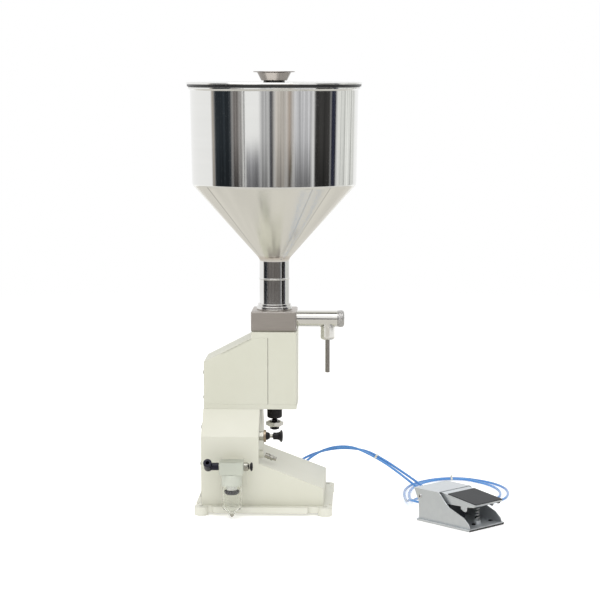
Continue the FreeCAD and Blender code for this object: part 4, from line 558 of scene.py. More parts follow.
# Valve block and hopper collar
# A stainless cube, milled and ground on its faces, with a turned collar on top that holds the neck.
# The inlet valve's seat, spider, poppet and spring sit in the collar, out of sight.
block_finish = ground_steel("ground stainless block", (0.545, 0.505, 0.47), 0.32, 0.44, (0.06, 1.0, 1.0))
collar_finish = steel("turned stainless collar", (0.74, 0.73, 0.71), 0.07, 0.15, 1500.0, 0.00002, axis)
dress(block_finish, "valve_block")
dress(seal_rubber, "block_seals", "piston_seals")
dress(collar_finish, "inlet_guide", "inlet_poppet", "measuring_cylinder")
collar = spun([(0.020, 0.318), (0.02825, 0.318, 0.0010), (0.02825, 0.324, 0.0012), (0.0265, 0.324),
               (0.0265, 0.328, 0.0010), (0.02405, 0.328), (0.02405, 0.322), (0.020, 0.322)], steps=96)
piece("neck_collar", laid(collar, axis), collar_finish, "machine", "stainless", "hopper_collar")


def coil(mean_r, wire_r, low, high, turns, steps=20):
    """A helical spring about Z, its wire's ends closed."""
    shape = bmesh.new()
    place = Matrix.Translation((mean_r, 0, low + wire_r)) @ Matrix.Rotation(math.pi / 2, 4, "X")
    bmesh.ops.create_circle(shape, cap_ends=False, segments=8, radius=wire_r, matrix=place)
    count = round(turns * steps)
    rise = (high - low - 2 * wire_r) / count
    bmesh.ops.spin(shape, geom=shape.verts[:] + shape.edges[:], cent=(0, 0, 0), axis=(0, 0, 1),
                   dvec=(0, 0, rise), angle=2 * math.pi * turns, steps=count, use_merge=False)
    bmesh.ops.holes_fill(shape, edges=[edge for edge in shape.edges if edge.is_boundary], sides=8)
    bmesh.ops.recalc_face_normals(shape, faces=shape.faces)
    return shape


spring_finish = steel("spring wire", (0.68, 0.68, 0.68), 0.14, 0.26, 1800.0, 0.00001)
small_spring = laid(coil(0.0039, 0.0005, 0.336, 0.348, 5), axis)
inlet_spring = piece("inlet_valve_spring", small_spring, spring_finish, "machine", "spring_steel",
                     "inlet_spring")
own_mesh(inlet_spring)


# Outlet tube, cap and nozzle
# A polished stainless tube with a spout welded on near its end, and a thin drawn nozzle pressed in.
# The knurled cap at the end lets the check valve and its spring out for cleaning.
outlet_start = Vector((0.050, 0.0, 0.303))
sideways = (0, math.radians(90), 0)
spout_axis = (0.0994, 0, 0)
tube_finish = steel("polished outlet tube", (0.78, 0.77, 0.74), 0.05, 0.10, 900.0, 0.000006, outlet_start,
                    sideways)
barrel = spun([(0.006, -0.006), (0.0094, -0.006), (0.0094, 0), (0.013, 0), (0.013, 0.0657, 0.0005),
               (0.0095, 0.0657), (0.0095, 0.008), (0.006, 0.008)], steps=96)
laid(barrel, outlet_start, (1, 0, 0))
spout = spun([(0, 0.269), (0.0115, 0.269, 0.0045), (0.0115, 0.304), (0, 0.304)], steps=80, round_steps=6)
laid(spout, spout_axis)
outlet = carved(barrel, spout, "UNION")


def drilled(radius, low, high, **settings):
    """A plain round bar about Z, to drill with or to add."""
    return spun([(0, low), (radius, low), (radius, high), (0, high)], **settings)


bore = laid(drilled(0.0095, 0.0082, 0.070, steps=96), outlet_start, (1, 0, 0))
outlet = carved(outlet, bore)
drop = laid(spun([(0, 0.268), (0.00375, 0.268), (0.00375, 0.275), (0.006, 0.275), (0.006, 0.303),
                  (0, 0.303)], steps=48), spout_axis)
outlet = carved(outlet, drop)
piece("outlet_pipe", outlet, tube_finish, "machine", "stainless", "outlet_tube")
weld_ring = spun([(0.0113, 0.2895, 0.0003), (0.0119, 0.2895, 0.0003), (0.0119, 0.2905, 0.0003),
                  (0.0113, 0.2905, 0.0003)], steps=80)
piece("spout_weld_ring", laid(weld_ring, spout_axis), tube_finish, "machine", "stainless")
nozzle_finish = steel("drawn nozzle tube", (0.31, 0.29, 0.27), 0.12, 0.22, 1200.0, 0.00001, spout_axis)
nozzle = spun([(0.0024, 0.2156, 0.0002), (0.00365, 0.2156, 0.0005), (0.00365, 0.2689), (0.0032, 0.2689),
               (0.0032, 0.275), (0.0024, 0.275)], steps=48)
piece("fill_nozzle", laid(nozzle, spout_axis), nozzle_finish, "machine", "stainless", "nozzle")

cap_finish = steel("knurled cap steel", (0.52, 0.51, 0.50), 0.24, 0.34, 1300.0, 0.00002, outlet_start,
                   sideways)
cap = spun([(0.00255, -0.0077), (0.006, -0.0077), (0.006, -0.003), (0.0094, -0.003), (0.0094, 0),
            (0.0132, 0, 0.0004), (0.0132, 0.0018), (0.0132, 0.0072), (0.0132, 0.0085, 0.0004),
            (0.0106, 0.0106, 0.0016), (0, 0.0110), (0, 0.0025), (0.00255, 0.0025)], steps=84)
knurl = [face for face in cap.faces
         if face.calc_center_median().xy.length > 0.0128 and 0.002 < face.calc_center_median().z < 0.007]
bmesh.ops.inset_individual(cap, faces=knurl, thickness=0.00022, depth=0.0004)
laid(cap, outlet_start + Vector((0.0657, 0, 0)), (1, 0, 0))
piece("knurled_cap", cap, cap_finish, "machine", "stainless", "outlet_cap")
dress(tube_finish, "outlet_poppet")
outlet_spring = laid(coil(0.0050, 0.0005, 0, 0.0465, 9), (0.0615, 0, 0.303), (1, 0, 0))
outlet_spring = piece("outlet_valve_spring", outlet_spring, spring_finish, "machine", "spring_steel",
                      "outlet_spring")
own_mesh(outlet_spring)


# Stroke stop under the head
# A black bush guides the piston rod, and an eight-sided steel nut under it sets the stroke.
# A thin lock nut holds it on the rod's end, which is drawn black as a painted reflection of the bush; a
# clamp screw sits in the bush's front.
def flatted(shape, sides, flat, start=0.0):
    """Mills equal flats on a turned shape about Z."""
    for side in range(sides):
        turn = start + 2 * math.pi * side / sides
        across = Vector((math.cos(turn), math.sin(turn), 0))
        whole = shape.verts[:] + shape.edges[:] + shape.faces[:]
        cut = bmesh.ops.bisect_plane(shape, geom=whole, plane_co=across * flat, plane_no=across,
                                     clear_outer=True)
        rim = [item for item in cut["geom_cut"] if isinstance(item, bmesh.types.BMEdge)]
        bmesh.ops.edgeloop_fill(shape, edges=rim)
    bmesh.ops.recalc_face_normals(shape, faces=shape.faces)
    return shape


black_plastic = moulded("black moulding", (0.010, 0.009, 0.011), 0.32, sheen=0.25)
bush = spun([(0.00505, 0.1406), (0.0122, 0.1408, 0.0034), (0.0122, 0.162), (0.008, 0.162), (0.008, 0.170),
             (0.00505, 0.170)], steps=80, round_steps=6)
notch = laid(drilled(0.004, 0, 0.006, steps=40), (0, -0.0084, 0.162), (0, -1, 0))
piece("rod_guide_bush", laid(carved(bush, notch), axis), black_plastic, "machine", "black_plastic",
      "stop_bumper")
nut_finish = steel("turned stroke nut", (0.74, 0.73, 0.71), 0.10, 0.20, 1500.0, 0.00002, axis)
clamp = spun([(0.0014, 0.0006), (0.0022, 0), (0.0037, 0, 0.0004), (0.0037, 0.0030, 0.0010),
              (0.0020, 0.0033, 0.0003), (0.0016, 0.0012)], steps=40)
laid(clamp, (0.014, -0.0086, 0.162), (0, -1, 0))
cut = bmesh.ops.bisect_plane(clamp, geom=clamp.verts[:] + clamp.edges[:] + clamp.faces[:],
                             plane_co=(0, 0, 0.1619), plane_no=(0, 0, 1), clear_outer=True)
bmesh.ops.holes_fill(clamp, edges=[edge for edge in clamp.edges if edge.is_boundary])
piece("bush_clamp_ring", clamp, nut_finish, "machine", "stainless")

rod = spun([(0, 0.1390), (0.0030, 0.1390), (0.0036, 0.1420), (0.0050, 0.1436), (0.0050, 0.279),
            (0.0040, 0.279), (0.0040, 0.288), (0, 0.288)], steps=48)
piece("piston_rod_bar", laid(rod, axis), collar_finish, "piston", "stainless", "piston_rod")
# The rod's short end below the bush is drawn black: a painted reflection of the black bush in the polished
# rod.
dark_rod_end = spun([(0, 0.1215), (0.0046, 0.1215, 0.0006), (0.0050, 0.1225), (0.0050, 0.1376), (0.0034, 0.1391),
               (0.0031, 0.1400), (0.0036, 0.1421), (0, 0.1421)], steps=48)
piece("rod_end_drawn_dark", laid(dark_rod_end, axis), black_oxide, "piston", "black_oxide")

nut = spun([(0.00505, 0), (0.0086, 0, 0.0004), (0.0143, 0.0034, 0.0003), (0.0143, 0.0079, 0.0003),
            (0.0080, 0.0113, 0.0004), (0.00505, 0.0113)], steps=96)
flatted(nut, 8, 0.0143 * math.cos(math.pi / 8), math.pi / 8)
for turn in (-125, -55, 125, 55):
    at = Vector((math.cos(math.radians(turn)), math.sin(math.radians(turn)), 0)) * 0.0108
    nut = carved(nut, laid(drilled(0.0017, 0.006, 0.013, steps=20), at))
piece("eight_sided_nut", laid(nut, (0.014, 0, 0.1262)), nut_finish, "stroke_nut", "stainless", "stroke_nut")
lock = spun([(0.00505, 0), (0.0066, 0, 0.0003), (0.0075, 0.0008), (0.0075, 0.0030),
             (0.0068, 0.0037, 0.0003), (0.00505, 0.0037)], steps=48)
flatted(lock, 6, 0.0065, math.pi / 6)
piece("lock_nut", laid(lock, (0.014, 0, 0.1223)), black_oxide, "end_nut", "black_oxide", "end_nut")


# Push-pull valve on the column
# A plated hexagon, a bronze lock ring and a black domed gland, with a thin bright stem.
# The black trumpet knob is moulded onto the stem's end; the valve's body is behind the wall.
pull_place = Vector((-0.0075, -0.060, 0.122))
brass_finish = steel("bronze lock ring", (0.40, 0.32, 0.235), 0.30, 0.42, 1400.0, 0.00002, pull_place,
                     sideways)
nickel_finish = steel("nickel plate", (0.50, 0.49, 0.44), 0.20, 0.30, 1400.0, 0.00002, pull_place, sideways)
hexagon = spun([(0.0031, -0.003), (0.006, -0.003), (0.006, 0), (0.0076, 0, 0.0005),
                (0.0076, 0.0020, 0.0002), (0.0072, 0.0024), (0.0076, 0.0028, 0.0002),
                (0.0076, 0.0071, 0.0008), (0.006, 0.0071), (0.006, 0.009), (0.0031, 0.009)], steps=48)
flatted(hexagon, 6, 0.0068)
body = carved(block((0.018, 0.018, 0.031), (0, 0, -0.0185), 0.0008), drilled(0.0031, -0.017, 0, steps=32))
laid(body, pull_place, (1, 0, 0))
laid(hexagon, pull_place, (1, 0, 0))
piece("valve_hexagon", joined(body, hexagon), nickel_finish, "machine", "nickel", "push_pull_valve_body")
ring = spun([(0.006, 0.0071), (0.00975, 0.0071, 0.0006), (0.00975, 0.0110, 0.0006), (0.0037, 0.0110),
             (0.0037, 0.0091), (0.006, 0.0091)], steps=72)
piece("bronze_lock_ring", laid(ring, pull_place, (1, 0, 0)), brass_finish, "machine", "brass",
      "push_pull_lock_ring")
gland = spun([(0.0031, 0.0110), (0.0063, 0.0110), (0.0063, 0.0128, 0.0008), (0.0056, 0.0156, 0.0020),
              (0.0036, 0.0171, 0.0010), (0.0031, 0.0171)], steps=64, round_steps=5)
piece("domed_gland", laid(gland, pull_place, (1, 0, 0)), black_plastic, "machine", "black_plastic",
      "push_pull_gland")
stem = drilled(0.0028, -0.013, 0.0212, steps=32)
piece("bright_stem", laid(stem, pull_place, (1, 0, 0)), nickel_finish, "push_pull_knob", "nickel")
knob = spun([(0, 0.0211), (0.0029, 0.0211), (0.0034, 0.0214, 0.0002), (0.0034, 0.0222),
             (0.0057, 0.0222, 0.0005), (0.0057, 0.0280), (0.0060, 0.0300), (0.0067, 0.0318),
             (0.0079, 0.0333), (0.0098, 0.0341, 0.0003), (0.0100, 0.0352, 0.0004), (0.0090, 0.0364),
             (0.0064, 0.0375), (0, 0.0379)], steps=80)
piece("trumpet_knob", laid(knob, pull_place, (1, 0, 0)), black_plastic, "push_pull_knob", "black_plastic",
      "push_pull_knob")


# Speed valve above the wedge
# A needle valve that leans with the wedge: a cream painted boss, a plated barrel and a lock nut.
# Its slotted screw turns to throttle the air.
speed_place = Vector((-0.0015, -0.055, 0.0915))
speed_ahead = Vector((0.9335804, 0, -0.3583679))
boss = spun([(0, 0), (0.0065, 0), (0.0065, 0.007, 0.0008), (0, 0.007)], steps=56)
piece("speed_boss", laid(boss, (-0.0075, -0.055, 0.0923), (1, 0, 0)), body_paint_lightened, "machine", "cream_paint")
barrel = spun([(0.00205, 0.003), (0.0040, 0.003), (0.0040, 0.0080), (0.0046, 0.0084, 0.0003),
               (0.0046, 0.0104, 0.0003), (0.0038, 0.0108), (0.0038, 0.0130), (0.00205, 0.0130)], steps=48)
speed_nut = spun([(0.00205, 0.0130), (0.0044, 0.0130, 0.0003), (0.005, 0.0138), (0.005, 0.0158),
                  (0.0044, 0.0166, 0.0003), (0.00205, 0.0166)], steps=48)
flatted(speed_nut, 6, 0.0044)
piece("speed_barrel", laid(joined(barrel, speed_nut), speed_place, speed_ahead), nickel_finish, "machine",
      "nickel", "speed_valve_body")
needle = spun([(0, 0.004), (0.0019, 0.004), (0.0019, 0.0168), (0.0032, 0.0168, 0.0003),
               (0.0032, 0.0224, 0.0007), (0, 0.0224)], steps=40)
needle = carved(needle, block((0.008, 0.0010, 0.0034), (0, 0, 0.0224)))
piece("slotted_needle", laid(needle, speed_place, speed_ahead, roll=0.5), nickel_finish, "speed_screw",
      "nickel", "speed_screw")


# Air filter
# A die-cast head with a grey-green coat, its top face darkened with painted shade, over a shell of the same
# colour, on a painted folded bracket.
# The clear polycarbonate bowl shows the white sintered element and its dark baffle, and has a drain below.
filter_place = Vector((-0.0477, -0.113, 0))
inlet_port = Vector((-0.0667, -0.113, 0.083))
outlet_port = Vector((-0.0287, -0.113, 0.083))
head_paint = moulded("grey-green filter head", (0.47, 0.49, 0.42), 0.30)
tree = head_paint.node_tree
shader = tree.nodes["Principled BSDF"]
before_top_shade = shader.inputs["Base Color"].links[0].from_socket
# Painted shade: the head's top face is darkened in patches towards a dark grey-green through the dust mask.
upward_dust_and_shade = placed(tree, dust_and_top_shade, {"Vector": add(tree, "TexCoord").outputs["Object"], "Amount": 0.9})
tree.links.new(blended(tree, upward_dust_and_shade["Dust and top shade"], before_top_shade, (0.24, 0.25, 0.20, 1)), shader.inputs["Base Color"])
shell_plastic = moulded("pale shell ring", (0.53, 0.55, 0.48), 0.34)
head = bmesh.new()
bmesh.ops.create_cube(head, size=1.0)
bmesh.ops.scale(head, vec=(0.038, 0.0324, 0.020), verts=head.verts)
upright = [edge for edge in head.edges if abs(edge.verts[0].co.z - edge.verts[1].co.z) > 0.01]
bmesh.ops.bevel(head, geom=upright, offset=0.004, offset_type="OFFSET", segments=6, profile=0.5,
                affect="EDGES", material=-1)
flat_rims = [edge for edge in head.edges if abs(edge.verts[0].co.z - edge.verts[1].co.z) < 0.0001]
bmesh.ops.bevel(head, geom=flat_rims, offset=0.0018, offset_type="OFFSET", segments=3, profile=0.5,
                affect="EDGES", material=-1)
laid(head, filter_place + Vector((0, 0, 0.082)))
head = carved(head, laid(drilled(0.0082, 0, 0.006), filter_place + Vector((0, 0, 0.070))))
for port, inward in ((inlet_port, 1), (outlet_port, -1)):
    head = carved(head, laid(drilled(0.0049, -0.001, 0.004, steps=40), port, (inward, 0, 0)))
piece("filter_top_casting", head, head_paint, "machine", "shell_grey", "filter_head")
shell = spun([(0.0153, 0.053), (0.016, 0.053, 0.0003), (0.016, 0.072), (0.009, 0.072), (0.009, 0.070),
              (0.0153, 0.070)], steps=80)
for number in range(16):
    turn = 2 * math.pi * number / 16
    at = Vector((math.cos(turn) * 0.016, math.sin(turn) * 0.016, 0.0532))
    shell = carved(shell, block((0.0026, 0.0020, 0.0040), at, turn=turn))
piece("filter_shell", laid(shell, filter_place), shell_plastic, "machine", "shell_grey", "filter_shell_ring")

bowl, tree, shader, place = new_material("clear polycarbonate bowl")
haze = placed(tree, grain, {"Vector": place, "Scale": 260.0, "Patches": 50.0})
tree.links.new(blended(tree, haze["Patch"], (0.99, 0.99, 0.97, 1), (0.96, 0.97, 0.94, 1)),
               shader.inputs["Base Color"])
shader.inputs["Transmission Weight"].default_value = 0.96
shader.inputs["IOR"].default_value = 1.1
tree.links.new(ranged(tree, haze["Patch"], 0.04, 0.16), shader.inputs["Roughness"])
bumped(tree, shader, haze["Height"], placed(tree, edges, {"Radius": 0.0005})["Normal"], 0.00001, 0.2)
cup = spun([(0.0034, 0.008), (0.0050, 0.008, 0.0005), (0.0070, 0.0125, 0.0015), (0.0140, 0.0155, 0.0020),
            (0.0153, 0.0200, 0.0020), (0.0153, 0.070), (0.0133, 0.070), (0.0133, 0.0205, 0.0020),
            (0.0120, 0.0170, 0.0015), (0.0034, 0.010)], steps=80, round_steps=4)
piece("clear_bowl", laid(cup, filter_place), bowl, "machine", "clear_bowl", "filter_bowl")
baffle_plastic = moulded("dark baffle", (0.010, 0.009, 0.016), 0.30, sheen=0.15)
sinter = moulded("white sintered plastic", (0.82, 0.82, 0.78), 0.55, 500.0, 0.00012)
baffle = spun([(0, 0.0388), (0.0085, 0.0388, 0.0010), (0.0118, 0.0418, 0.0012), (0.0122, 0.0450, 0.0003),
               (0.0114, 0.0450), (0.0106, 0.0425, 0.001), (0.002, 0.0412), (0.002, 0.046),
               (0, 0.046)], steps=64)
piece("baffle_cup", laid(baffle, filter_place), baffle_plastic, "machine", "black_plastic")
element = spun([(0, 0.046), (0.0080, 0.046, 0.0008), (0.0080, 0.076), (0, 0.076)], steps=64)
piece("sintered_element", laid(element, filter_place), sinter, "machine", "sinter_white", "filter_element")
drain = spun([(0, 0.0024), (0.0013, 0.0024, 0.0004), (0.0034, 0.0052, 0.0004), (0.0034, 0.0079),
              (0.0033, 0.0079), (0.0033, 0.011), (0, 0.011)], steps=40)
flatted(drain, 2, 0.0030, 0.4)
piece("drain_plug", laid(drain, filter_place), nickel_finish, "drain_cock", "nickel", "drain_cock")
dress(body_paint_lightened, "filter_bracket")


# Fittings on the filter
# A dark plastic swivel elbow for the supply hose on a plated stub, and a push-in fitting beyond the head.
# The push-in fitting has a grooved plated body, a narrow neck and a black release ring.
elbow_plastic = moulded("dark blue-black elbow", (0.012, 0.011, 0.024), 0.30, sheen=0.25)
lean = math.radians(57)
riser_ahead = Vector((0, -math.sin(lean), math.cos(lean)))
arm = laid(spun([(0, 0.0012), (0.006, 0.0012, 0.0012), (0.006, 0.019, 0.002), (0, 0.019)], steps=48,
                round_steps=4), inlet_port, (-1, 0, 0))
riser = laid(spun([(0, -0.0068), (0.0068, -0.0068, 0.003), (0.0068, 0.0158, 0.0014), (0, 0.0158)],
                  steps=48, round_steps=5), inlet_port + Vector((-0.018, 0, 0)), riser_ahead)
elbow = carved(arm, riser, "UNION")
hose_bore = laid(drilled(0.003, 0, 0.02, steps=32), inlet_port + Vector((-0.018, 0, 0)), riser_ahead)
piece("swivel_elbow", carved(elbow, hose_bore), elbow_plastic, "inlet_elbow", "black_plastic", "inlet_elbow")
stub = drilled(0.0048, -0.0038, 0.0013, steps=40)
piece("elbow_stub", laid(stub, inlet_port, (-1, 0, 0)), nickel_finish, "inlet_elbow", "nickel")
fitting = spun([(0.003, -0.002), (0.003, -0.004), (0.0049, -0.004), (0.0049, 0), (0.0070, 0, 0.0004),
                (0.0070, 0.0020, 0.0002), (0.0062, 0.0024), (0.0070, 0.0028, 0.0002),
                (0.0070, 0.0046, 0.0002), (0.0062, 0.0050), (0.0068, 0.0056, 0.0002), (0.0058, 0.0073),
                (0.0036, 0.0088), (0.0036, 0.0097), (0.003, 0.0097)], steps=48)
piece("push_in_body", laid(fitting, outlet_port, (1, 0, 0)), nickel_finish, "machine", "nickel",
      "outlet_fitting")
release = spun([(0.003, 0.0097), (0.0042, 0.0097), (0.0069, 0.0112, 0.0003), (0.0069, 0.0128, 0.0003),
                (0.0052, 0.0140), (0.003, 0.0140)], steps=48)
piece("release_ring", laid(release, outlet_port, (1, 0, 0)), black_plastic, "machine", "black_plastic")


# Control valve, cylinder and pistons inside the covers
# Anodised aluminium bodies, a white plastic dosing piston, and brass fittings where the tubes leave.
anodised = ground_steel("anodised aluminium", (0.66, 0.67, 0.68), 0.34, 0.46, (1.0, 1.0, 0.1))
white_plastic = moulded("white piston plastic", (0.78, 0.78, 0.76), 0.42)
dress(anodised, "air_cylinder_body", "air_piston", "control_valve_body", "control_spool")
dress(white_plastic, "dosing_piston")
dress(nickel_finish, "tube_fittings")


# Foot valve
# A folded galvanised housing on a sheet base with turned-down sides, and a rubber mat under it.
# The treadle is a channel hung on a hollow rivet pin, over a black air valve and a coil spring.
def galvanised_sheet(name, colour):
    """Zinc coated sheet: faint spangle, rolling streaks and small scuffs."""
    material, tree, shader, place = new_material(name)
    spangle = add(tree, "TexVoronoi", {"Vector": place, "Scale": 130.0})
    skin = placed(tree, grain, {"Vector": place, "Scale": 800.0, "Patches": 25.0})
    worn = placed(tree, edges, {"Radius": 0.0007})
    red, green, blue = colour
    tone = blended(tree, spangle.outputs["Color"], (red * 0.95, green * 0.95, blue * 0.96, 1), (*colour, 1))
    bright = blended(tree, ranged(tree, worn["Edge"], 0.0, 0.7), tone, (0.93, 0.94, 0.95, 1))
    tree.links.new(bright, shader.inputs["Base Color"])
    shader.inputs["Metallic"].default_value = 0.85
    tree.links.new(ranged(tree, skin["Patch"], 0.36, 0.50), shader.inputs["Roughness"])
    bumped(tree, shader, skin["Height"], worn["Normal"], 0.00002, 0.3)
    return material


sheet_zinc = galvanised_sheet("galvanised sheet", (0.66, 0.69, 0.71))
dress(sheet_zinc, "foot_housing")
black_anodised = moulded("black anodised valve", (0.020, 0.022, 0.030), 0.34)
dress(black_anodised, "foot_valve_body")
dress(nickel_finish, "foot_plunger")
base = block((0.110, 0.082, 0.0036), (0, 0, 0.0022), 0.0006)
base = carved(base, block((0.120, 0.0792, 0.0036), (0, 0, 0.0010)))
cup = spun([(0, 0.0040), (0.0055, 0.0040), (0.0055, 0.0096, 0.0005), (0.0046, 0.0096), (0.0046, 0.0092),
            (0, 0.0092)], steps=40)
base = joined(base, laid(cup, (0.035, 0, 0)))
laid(base, foot_origin, roll=foot_turn)
piece("foot_base_sheet", base, sheet_zinc, "machine", "galvanised", "foot_base_plate")
mat_rubber = rubber("foot mat rubber", (0.014, 0.014, 0.015), 0.48, 900.0)
mat = laid(block((0.1104, 0.0788, 0.0026), (0, 0, 0.0014), 0.0003), foot_origin, roll=foot_turn)
piece("foot_rubber_mat", mat, mat_rubber, "machine", "rubber", "foot_mat")
pin = spun([(0.0014, -0.0385), (0.0026, -0.0385, 0.0003), (0.0035, -0.0376, 0.0004), (0.0035, -0.0370),
            (0.002, -0.0370), (0.002, 0.0370), (0.0035, 0.0370), (0.0035, 0.0376, 0.0004),
            (0.0026, 0.0385, 0.0003), (0.0014, 0.0385)], steps=40)
far = Matrix.Rotation(foot_turn, 3, "Z") @ Vector((0, 1, 0))
piece("hollow_pin", laid(pin, foot_place(-0.051, 0, 0.039), far), spring_finish, "machine", "galvanised",
      "pivot_pin")
return_coil = piece("treadle_spring", laid(coil(0.0037, 0.0006, 0.0096, 0.0420, 6.5), foot_place(0.035, 0)),
                    spring_finish, "machine", "spring_steel", "return_spring")
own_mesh(return_coil)

def plate_shape(outline, half):
    """A flat outline in the foot valve's upright plane, as thick as twice the half."""
    shape = bmesh.new()
    rim = [shape.verts.new((along, -half, up)) for along, up in outline]
    face = shape.faces.new(rim)
    grown = bmesh.ops.extrude_face_region(shape, geom=[face])
    bmesh.ops.translate(shape, vec=(0, 2 * half, 0),
                        verts=[item for item in grown["geom"] if isinstance(item, bmesh.types.BMVert)])
    bmesh.ops.recalc_face_normals(shape, faces=shape.faces)
    return shape


tread_slope = (0.0495 - 0.041) / 0.063
tread_wall = 0.0015
tread = plate_shape([(-0.055, 0.035), (-0.047, 0.035), (0.0024, 0.0340), (0.0296, 0.0352),
                     (0.0298, 0.0308), (0.0322, 0.0302), (0.0336, 0.0286), (0.0390, 0.0276),
                     (0.0410, 0.0292), (0.0414, 0.0352), (0.0560, 0.0370), (0.060, 0.041),
                     (-0.0108, 0.0506), (-0.0112, 0.0480), (-0.055, 0.044)], 0.0315)
hollow = plate_shape([(-0.060, 0.020), (0.056, 0.020), (0.056, 0.041 + tread_slope * 0.004 - tread_wall),
                      (-0.0094, 0.0506 - tread_wall), (-0.0096, 0.0466),
                      (-0.060, 0.0425)], 0.0315 - tread_wall)
tread = carved(tread, hollow)
hinge = laid(drilled(0.00205, -0.04, 0.04, steps=32), (-0.051, 0, 0.039), (0, 1, 0))
tread = carved(tread, hinge)
piece("treadle_channel", laid(tread, foot_origin, roll=foot_turn), sheet_zinc, "foot_tread", "galvanised",
      "foot_tread", angle=30)
pad_rubber = rubber("tread pad rubber", (0.026, 0.028, 0.031), 0.60, 1100.0)
pad = block((0.0586 / math.cos(math.atan(tread_slope)), 0.061, 0.0015), (0, 0, 0.00075), 0.0003)
tilt = Matrix.Rotation(math.atan(tread_slope), 4, "Y")
bmesh.ops.transform(pad, matrix=tilt, verts=pad.verts)
laid(pad, foot_place(0.0305, 0, 0.041 + tread_slope * 0.0295), roll=foot_turn)
piece("tread_rubber_pad", pad, pad_rubber, "foot_tread", "rubber", "tread_pad")
stud = laid(spun([(0, 0.0350), (0.0030, 0.0350, 0.0008), (0.0034, 0.0398), (0, 0.0398)], steps=32),
            foot_place(0.0535, 0.0275))
piece("tread_stop_stud", stud, mat_rubber, "foot_tread", "rubber")


# Floor and studio
# A white floor that fades into the white room, soft light from all round and above.
# Cards that only polished metal can see stand round the machine, as in a product studio.
def floor_material():
    """White paper floor that thins out with distance."""
    material, tree, shader, place = new_material("white floor")
    reach = add(tree, "VectorMath", {0: place}, operation="LENGTH")
    fade = ranged(tree, reach.outputs["Value"], 1.0, 0.0, 1.1, 3.0)
    tree.links.new(fade, shader.inputs["Alpha"])
    shader.inputs["Base Color"].default_value = (0.96, 0.96, 0.955, 1)
    shader.inputs["Roughness"].default_value = 0.7
    shader.inputs["Specular IOR Level"].default_value = 0.0
    shader.inputs["Emission Color"].default_value = (1.0, 1.0, 0.98, 1)
    shader.inputs["Emission Strength"].default_value = 0.30
    return material


def stage_piece(name, shape, material):
    """A thing of the studio, which isn't part of the machine."""
    mesh = bpy.data.meshes.new(name)
    shape.to_mesh(mesh)
    shape.free()
    mesh.materials.append(material)
    thing = bpy.data.objects.new(name, mesh)
    bpy.context.scene.collection.objects.link(thing)
    return thing


floor_shape = bmesh.new()
bmesh.ops.create_grid(floor_shape, x_segments=1, y_segments=1, size=4.0)
stage_piece("floor", floor_shape, floor_material())

world = bpy.data.worlds.new("studio")
bpy.context.scene.world = world
world.use_nodes = True
background = world.node_tree.nodes["Background"]
background.inputs["Color"].default_value = (1, 1, 1, 1)
background.inputs["Strength"].default_value = 1.0

# Each card: middle and width as angles round the hopper from the camera's side, foot, top, light,
# tint, blur of its sides, and how bright its foot is against its top
cards = {
    "left_brown_edge": (-87, 5, 0.0, 1.7, 0.42, (1.0, 0.90, 0.80), 3.0, 0.8),
    "left_slate_flag": (-70, 30, 0.0, 1.7, 0.042, (0.75, 0.92, 1.1), 4.0, 0.6),
    "left_brown_screen": (-49, 14, 0.0, 0.9, 0.24, (1.0, 0.92, 0.89), 8.0, 0.22),
    "left_streaks": (-41, 3.5, 0.0, 0.9, 0.55, (1.0, 0.97, 0.95), 3.0, 0.35),
    "left_thin_line": (-37, 1.3, 0.0, 0.9, 0.09, (1.0, 0.97, 0.95), 1.2, 0.6),
    "left_low_screen": (-25, 20, 0.0, 0.44, 0.50, (0.98, 0.98, 1.04), 4.0, 0.35),
    "left_pale_screen": (-9.5, 11, 0.0, 0.9, 0.52, (1.0, 1.0, 1.02), 5.0, 0.4),
    "camera_stand": (-0.5, 6, 0.0, 0.74, 0.06, (0.9, 0.92, 1.1), 3.0, 0.8),
    "warm_wall": (11, 16, 0.0, 0.9, 0.64, (1.0, 0.93, 0.86), 7.0, 0.55),
    "brown_screen": (23.5, 9, 0.0, 0.9, 0.38, (1.0, 0.84, 0.72), 8.0, 0.14),
    "yellow_tag": (25, 2.6, 0.345, 0.43, 0.42, (1.0, 0.93, 0.48), 1.5, 0.9),
    "far_screen": (42, 26, 0.0, 0.9, 0.66, (0.98, 0.98, 1.02), 6.0, 0.28),
    "right_black_flag": (71, 26, 0.0, 1.7, 0.050, (1.0, 0.97, 0.95), 3.0, 0.5),
    "right_navy_flag": (89.5, 11, 0.0, 1.7, 0.036, (0.8, 0.9, 1.6), 4.0, 0.8),
    "rear_pale_screen": (120, 46, 0.0, 1.7, 0.82, (0.99, 1.0, 0.97), 8.0, 0.95),
    "table_front": (-2, 92, 0.0, 0.26, 0.17, (1.0, 0.92, 0.88), 8.0, 1.0),
}
card_distance = 2.2


def studio_glow(name, spread, level, tint):
    """A card's light, laid over what is behind it by its spread from 0 to 1."""
    mixed = tree.nodes.new("ShaderNodeMixShader")
    lamp = add(tree, "Emission", {"Color": (*tint, 1), "Strength": level})
    clear = add(tree, "BsdfTransparent")
    tree.links.new(spread, mixed.inputs[0])
    tree.links.new(clear.outputs["BSDF"], mixed.inputs[1])
    tree.links.new(lamp.outputs["Emission"], mixed.inputs[2])
    surface = tree.nodes.new("ShaderNodeOutputMaterial")
    tree.links.new(mixed.outputs["Shader"], surface.inputs["Surface"])


def only_mirrored(thing):
    """Only polished metal sees this card."""
    thing.visible_camera = False
    thing.visible_diffuse = False
    thing.visible_transmission = False
    thing.visible_shadow = False


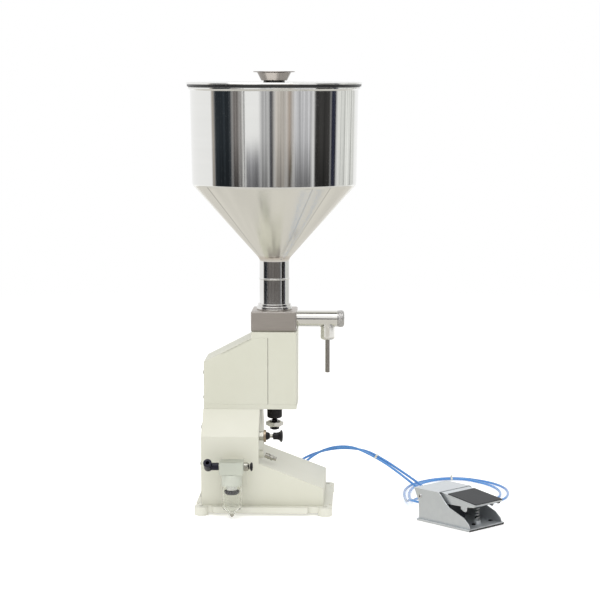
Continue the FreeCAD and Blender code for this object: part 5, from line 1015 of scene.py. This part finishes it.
for card, (middle, width, low, high, light, tint, blur, foot) in cards.items():
    glow = bpy.data.materials.new(card)
    glow.use_nodes = True
    tree = glow.node_tree
    tree.nodes.clear()
    place = add(tree, "TexCoord").outputs["Object"]
    own = add(tree, "Mapping", {"Vector": place, "Rotation": (0, 0,
                                                              math.radians(90 - middle))}).outputs["Vector"]
    split = add(tree, "SeparateXYZ", {0: own})
    turn = worked(tree, "ARCTAN2", split.outputs["Y"], split.outputs["X"])
    away = worked(tree, "ABSOLUTE", turn)
    half = math.radians(width / 2 + blur / 2)
    side = ranged(tree, away, 1.0, 0.0, half - math.radians(blur), half)
    top = ranged(tree, split.outputs["Z"], 1.0, 0.0, high - 0.05, high)
    spread = worked(tree, "MULTIPLY", side, top)
    drawn = add(tree, "Mapping", {"Vector": place, "Scale": (11.0, 11.0, 1.3)}).outputs["Vector"]
    waver = add(tree, "TexNoise", {"Vector": drawn, "Scale": 1.0, "Detail": 4.0}).outputs["Fac"]
    streaks = ranged(tree, waver, light * 0.55, light * 1.32, 0.34, 0.66)
    shade = ranged(tree, split.outputs["Z"], foot, 1.0, 0.325, 0.45)
    level = worked(tree, "MULTIPLY", streaks, shade)
    studio_glow(card, spread, level, tint)
    shape = bmesh.new()
    start = shape.verts.new((0, -card_distance, low))
    stop = shape.verts.new((0, -card_distance, high))
    edge = shape.edges.new((start, stop))
    bmesh.ops.rotate(shape, verts=shape.verts, cent=(0, 0, 0),
                     matrix=Matrix.Rotation(math.radians(middle - width / 2 - blur / 2), 3, "Z"))
    bmesh.ops.spin(shape, geom=[start, stop, edge], cent=(0, 0, 0), axis=(0, 0, 1),
                   angle=math.radians(width + blur), steps=12)
    only_mirrored(stage_piece(card, shape, glow))

glow = bpy.data.materials.new("beige paper")
glow.use_nodes = True
tree = glow.node_tree
tree.nodes.clear()
place = add(tree, "TexCoord").outputs["Object"]
reach = add(tree, "VectorMath", {0: place}, operation="LENGTH").outputs["Value"]
cloud = add(tree, "TexNoise", {"Vector": place, "Scale": 5.0, "Detail": 3.0}).outputs["Fac"]
studio_glow("beige paper", ranged(tree, reach, 1.0, 0.0, 1.5, 2.1), ranged(tree, cloud, 0.66, 0.84, 0.3,
                                                                           0.7), (1.0, 0.975, 0.91))
paper = bmesh.new()
bmesh.ops.create_grid(paper, x_segments=1, y_segments=1, size=2.15)
bmesh.ops.translate(paper, vec=(0, 0, 0.0004), verts=paper.verts)
only_mirrored(stage_piece("beige_paper", paper, glow))

key = bpy.data.lights.new("overhead softbox", "AREA")
key.shape = "RECTANGLE"
key.size = 2.4
key.size_y = 1.6
key.energy = 18
lamp = bpy.data.objects.new("overhead softbox", key)
lamp.location = (-0.4, -0.8, 2.4)
lamp.rotation_euler = (Vector((0.05, 0, 0.3)) - lamp.location).to_track_quat("-Z", "Y").to_euler()
bpy.context.scene.collection.objects.link(lamp)
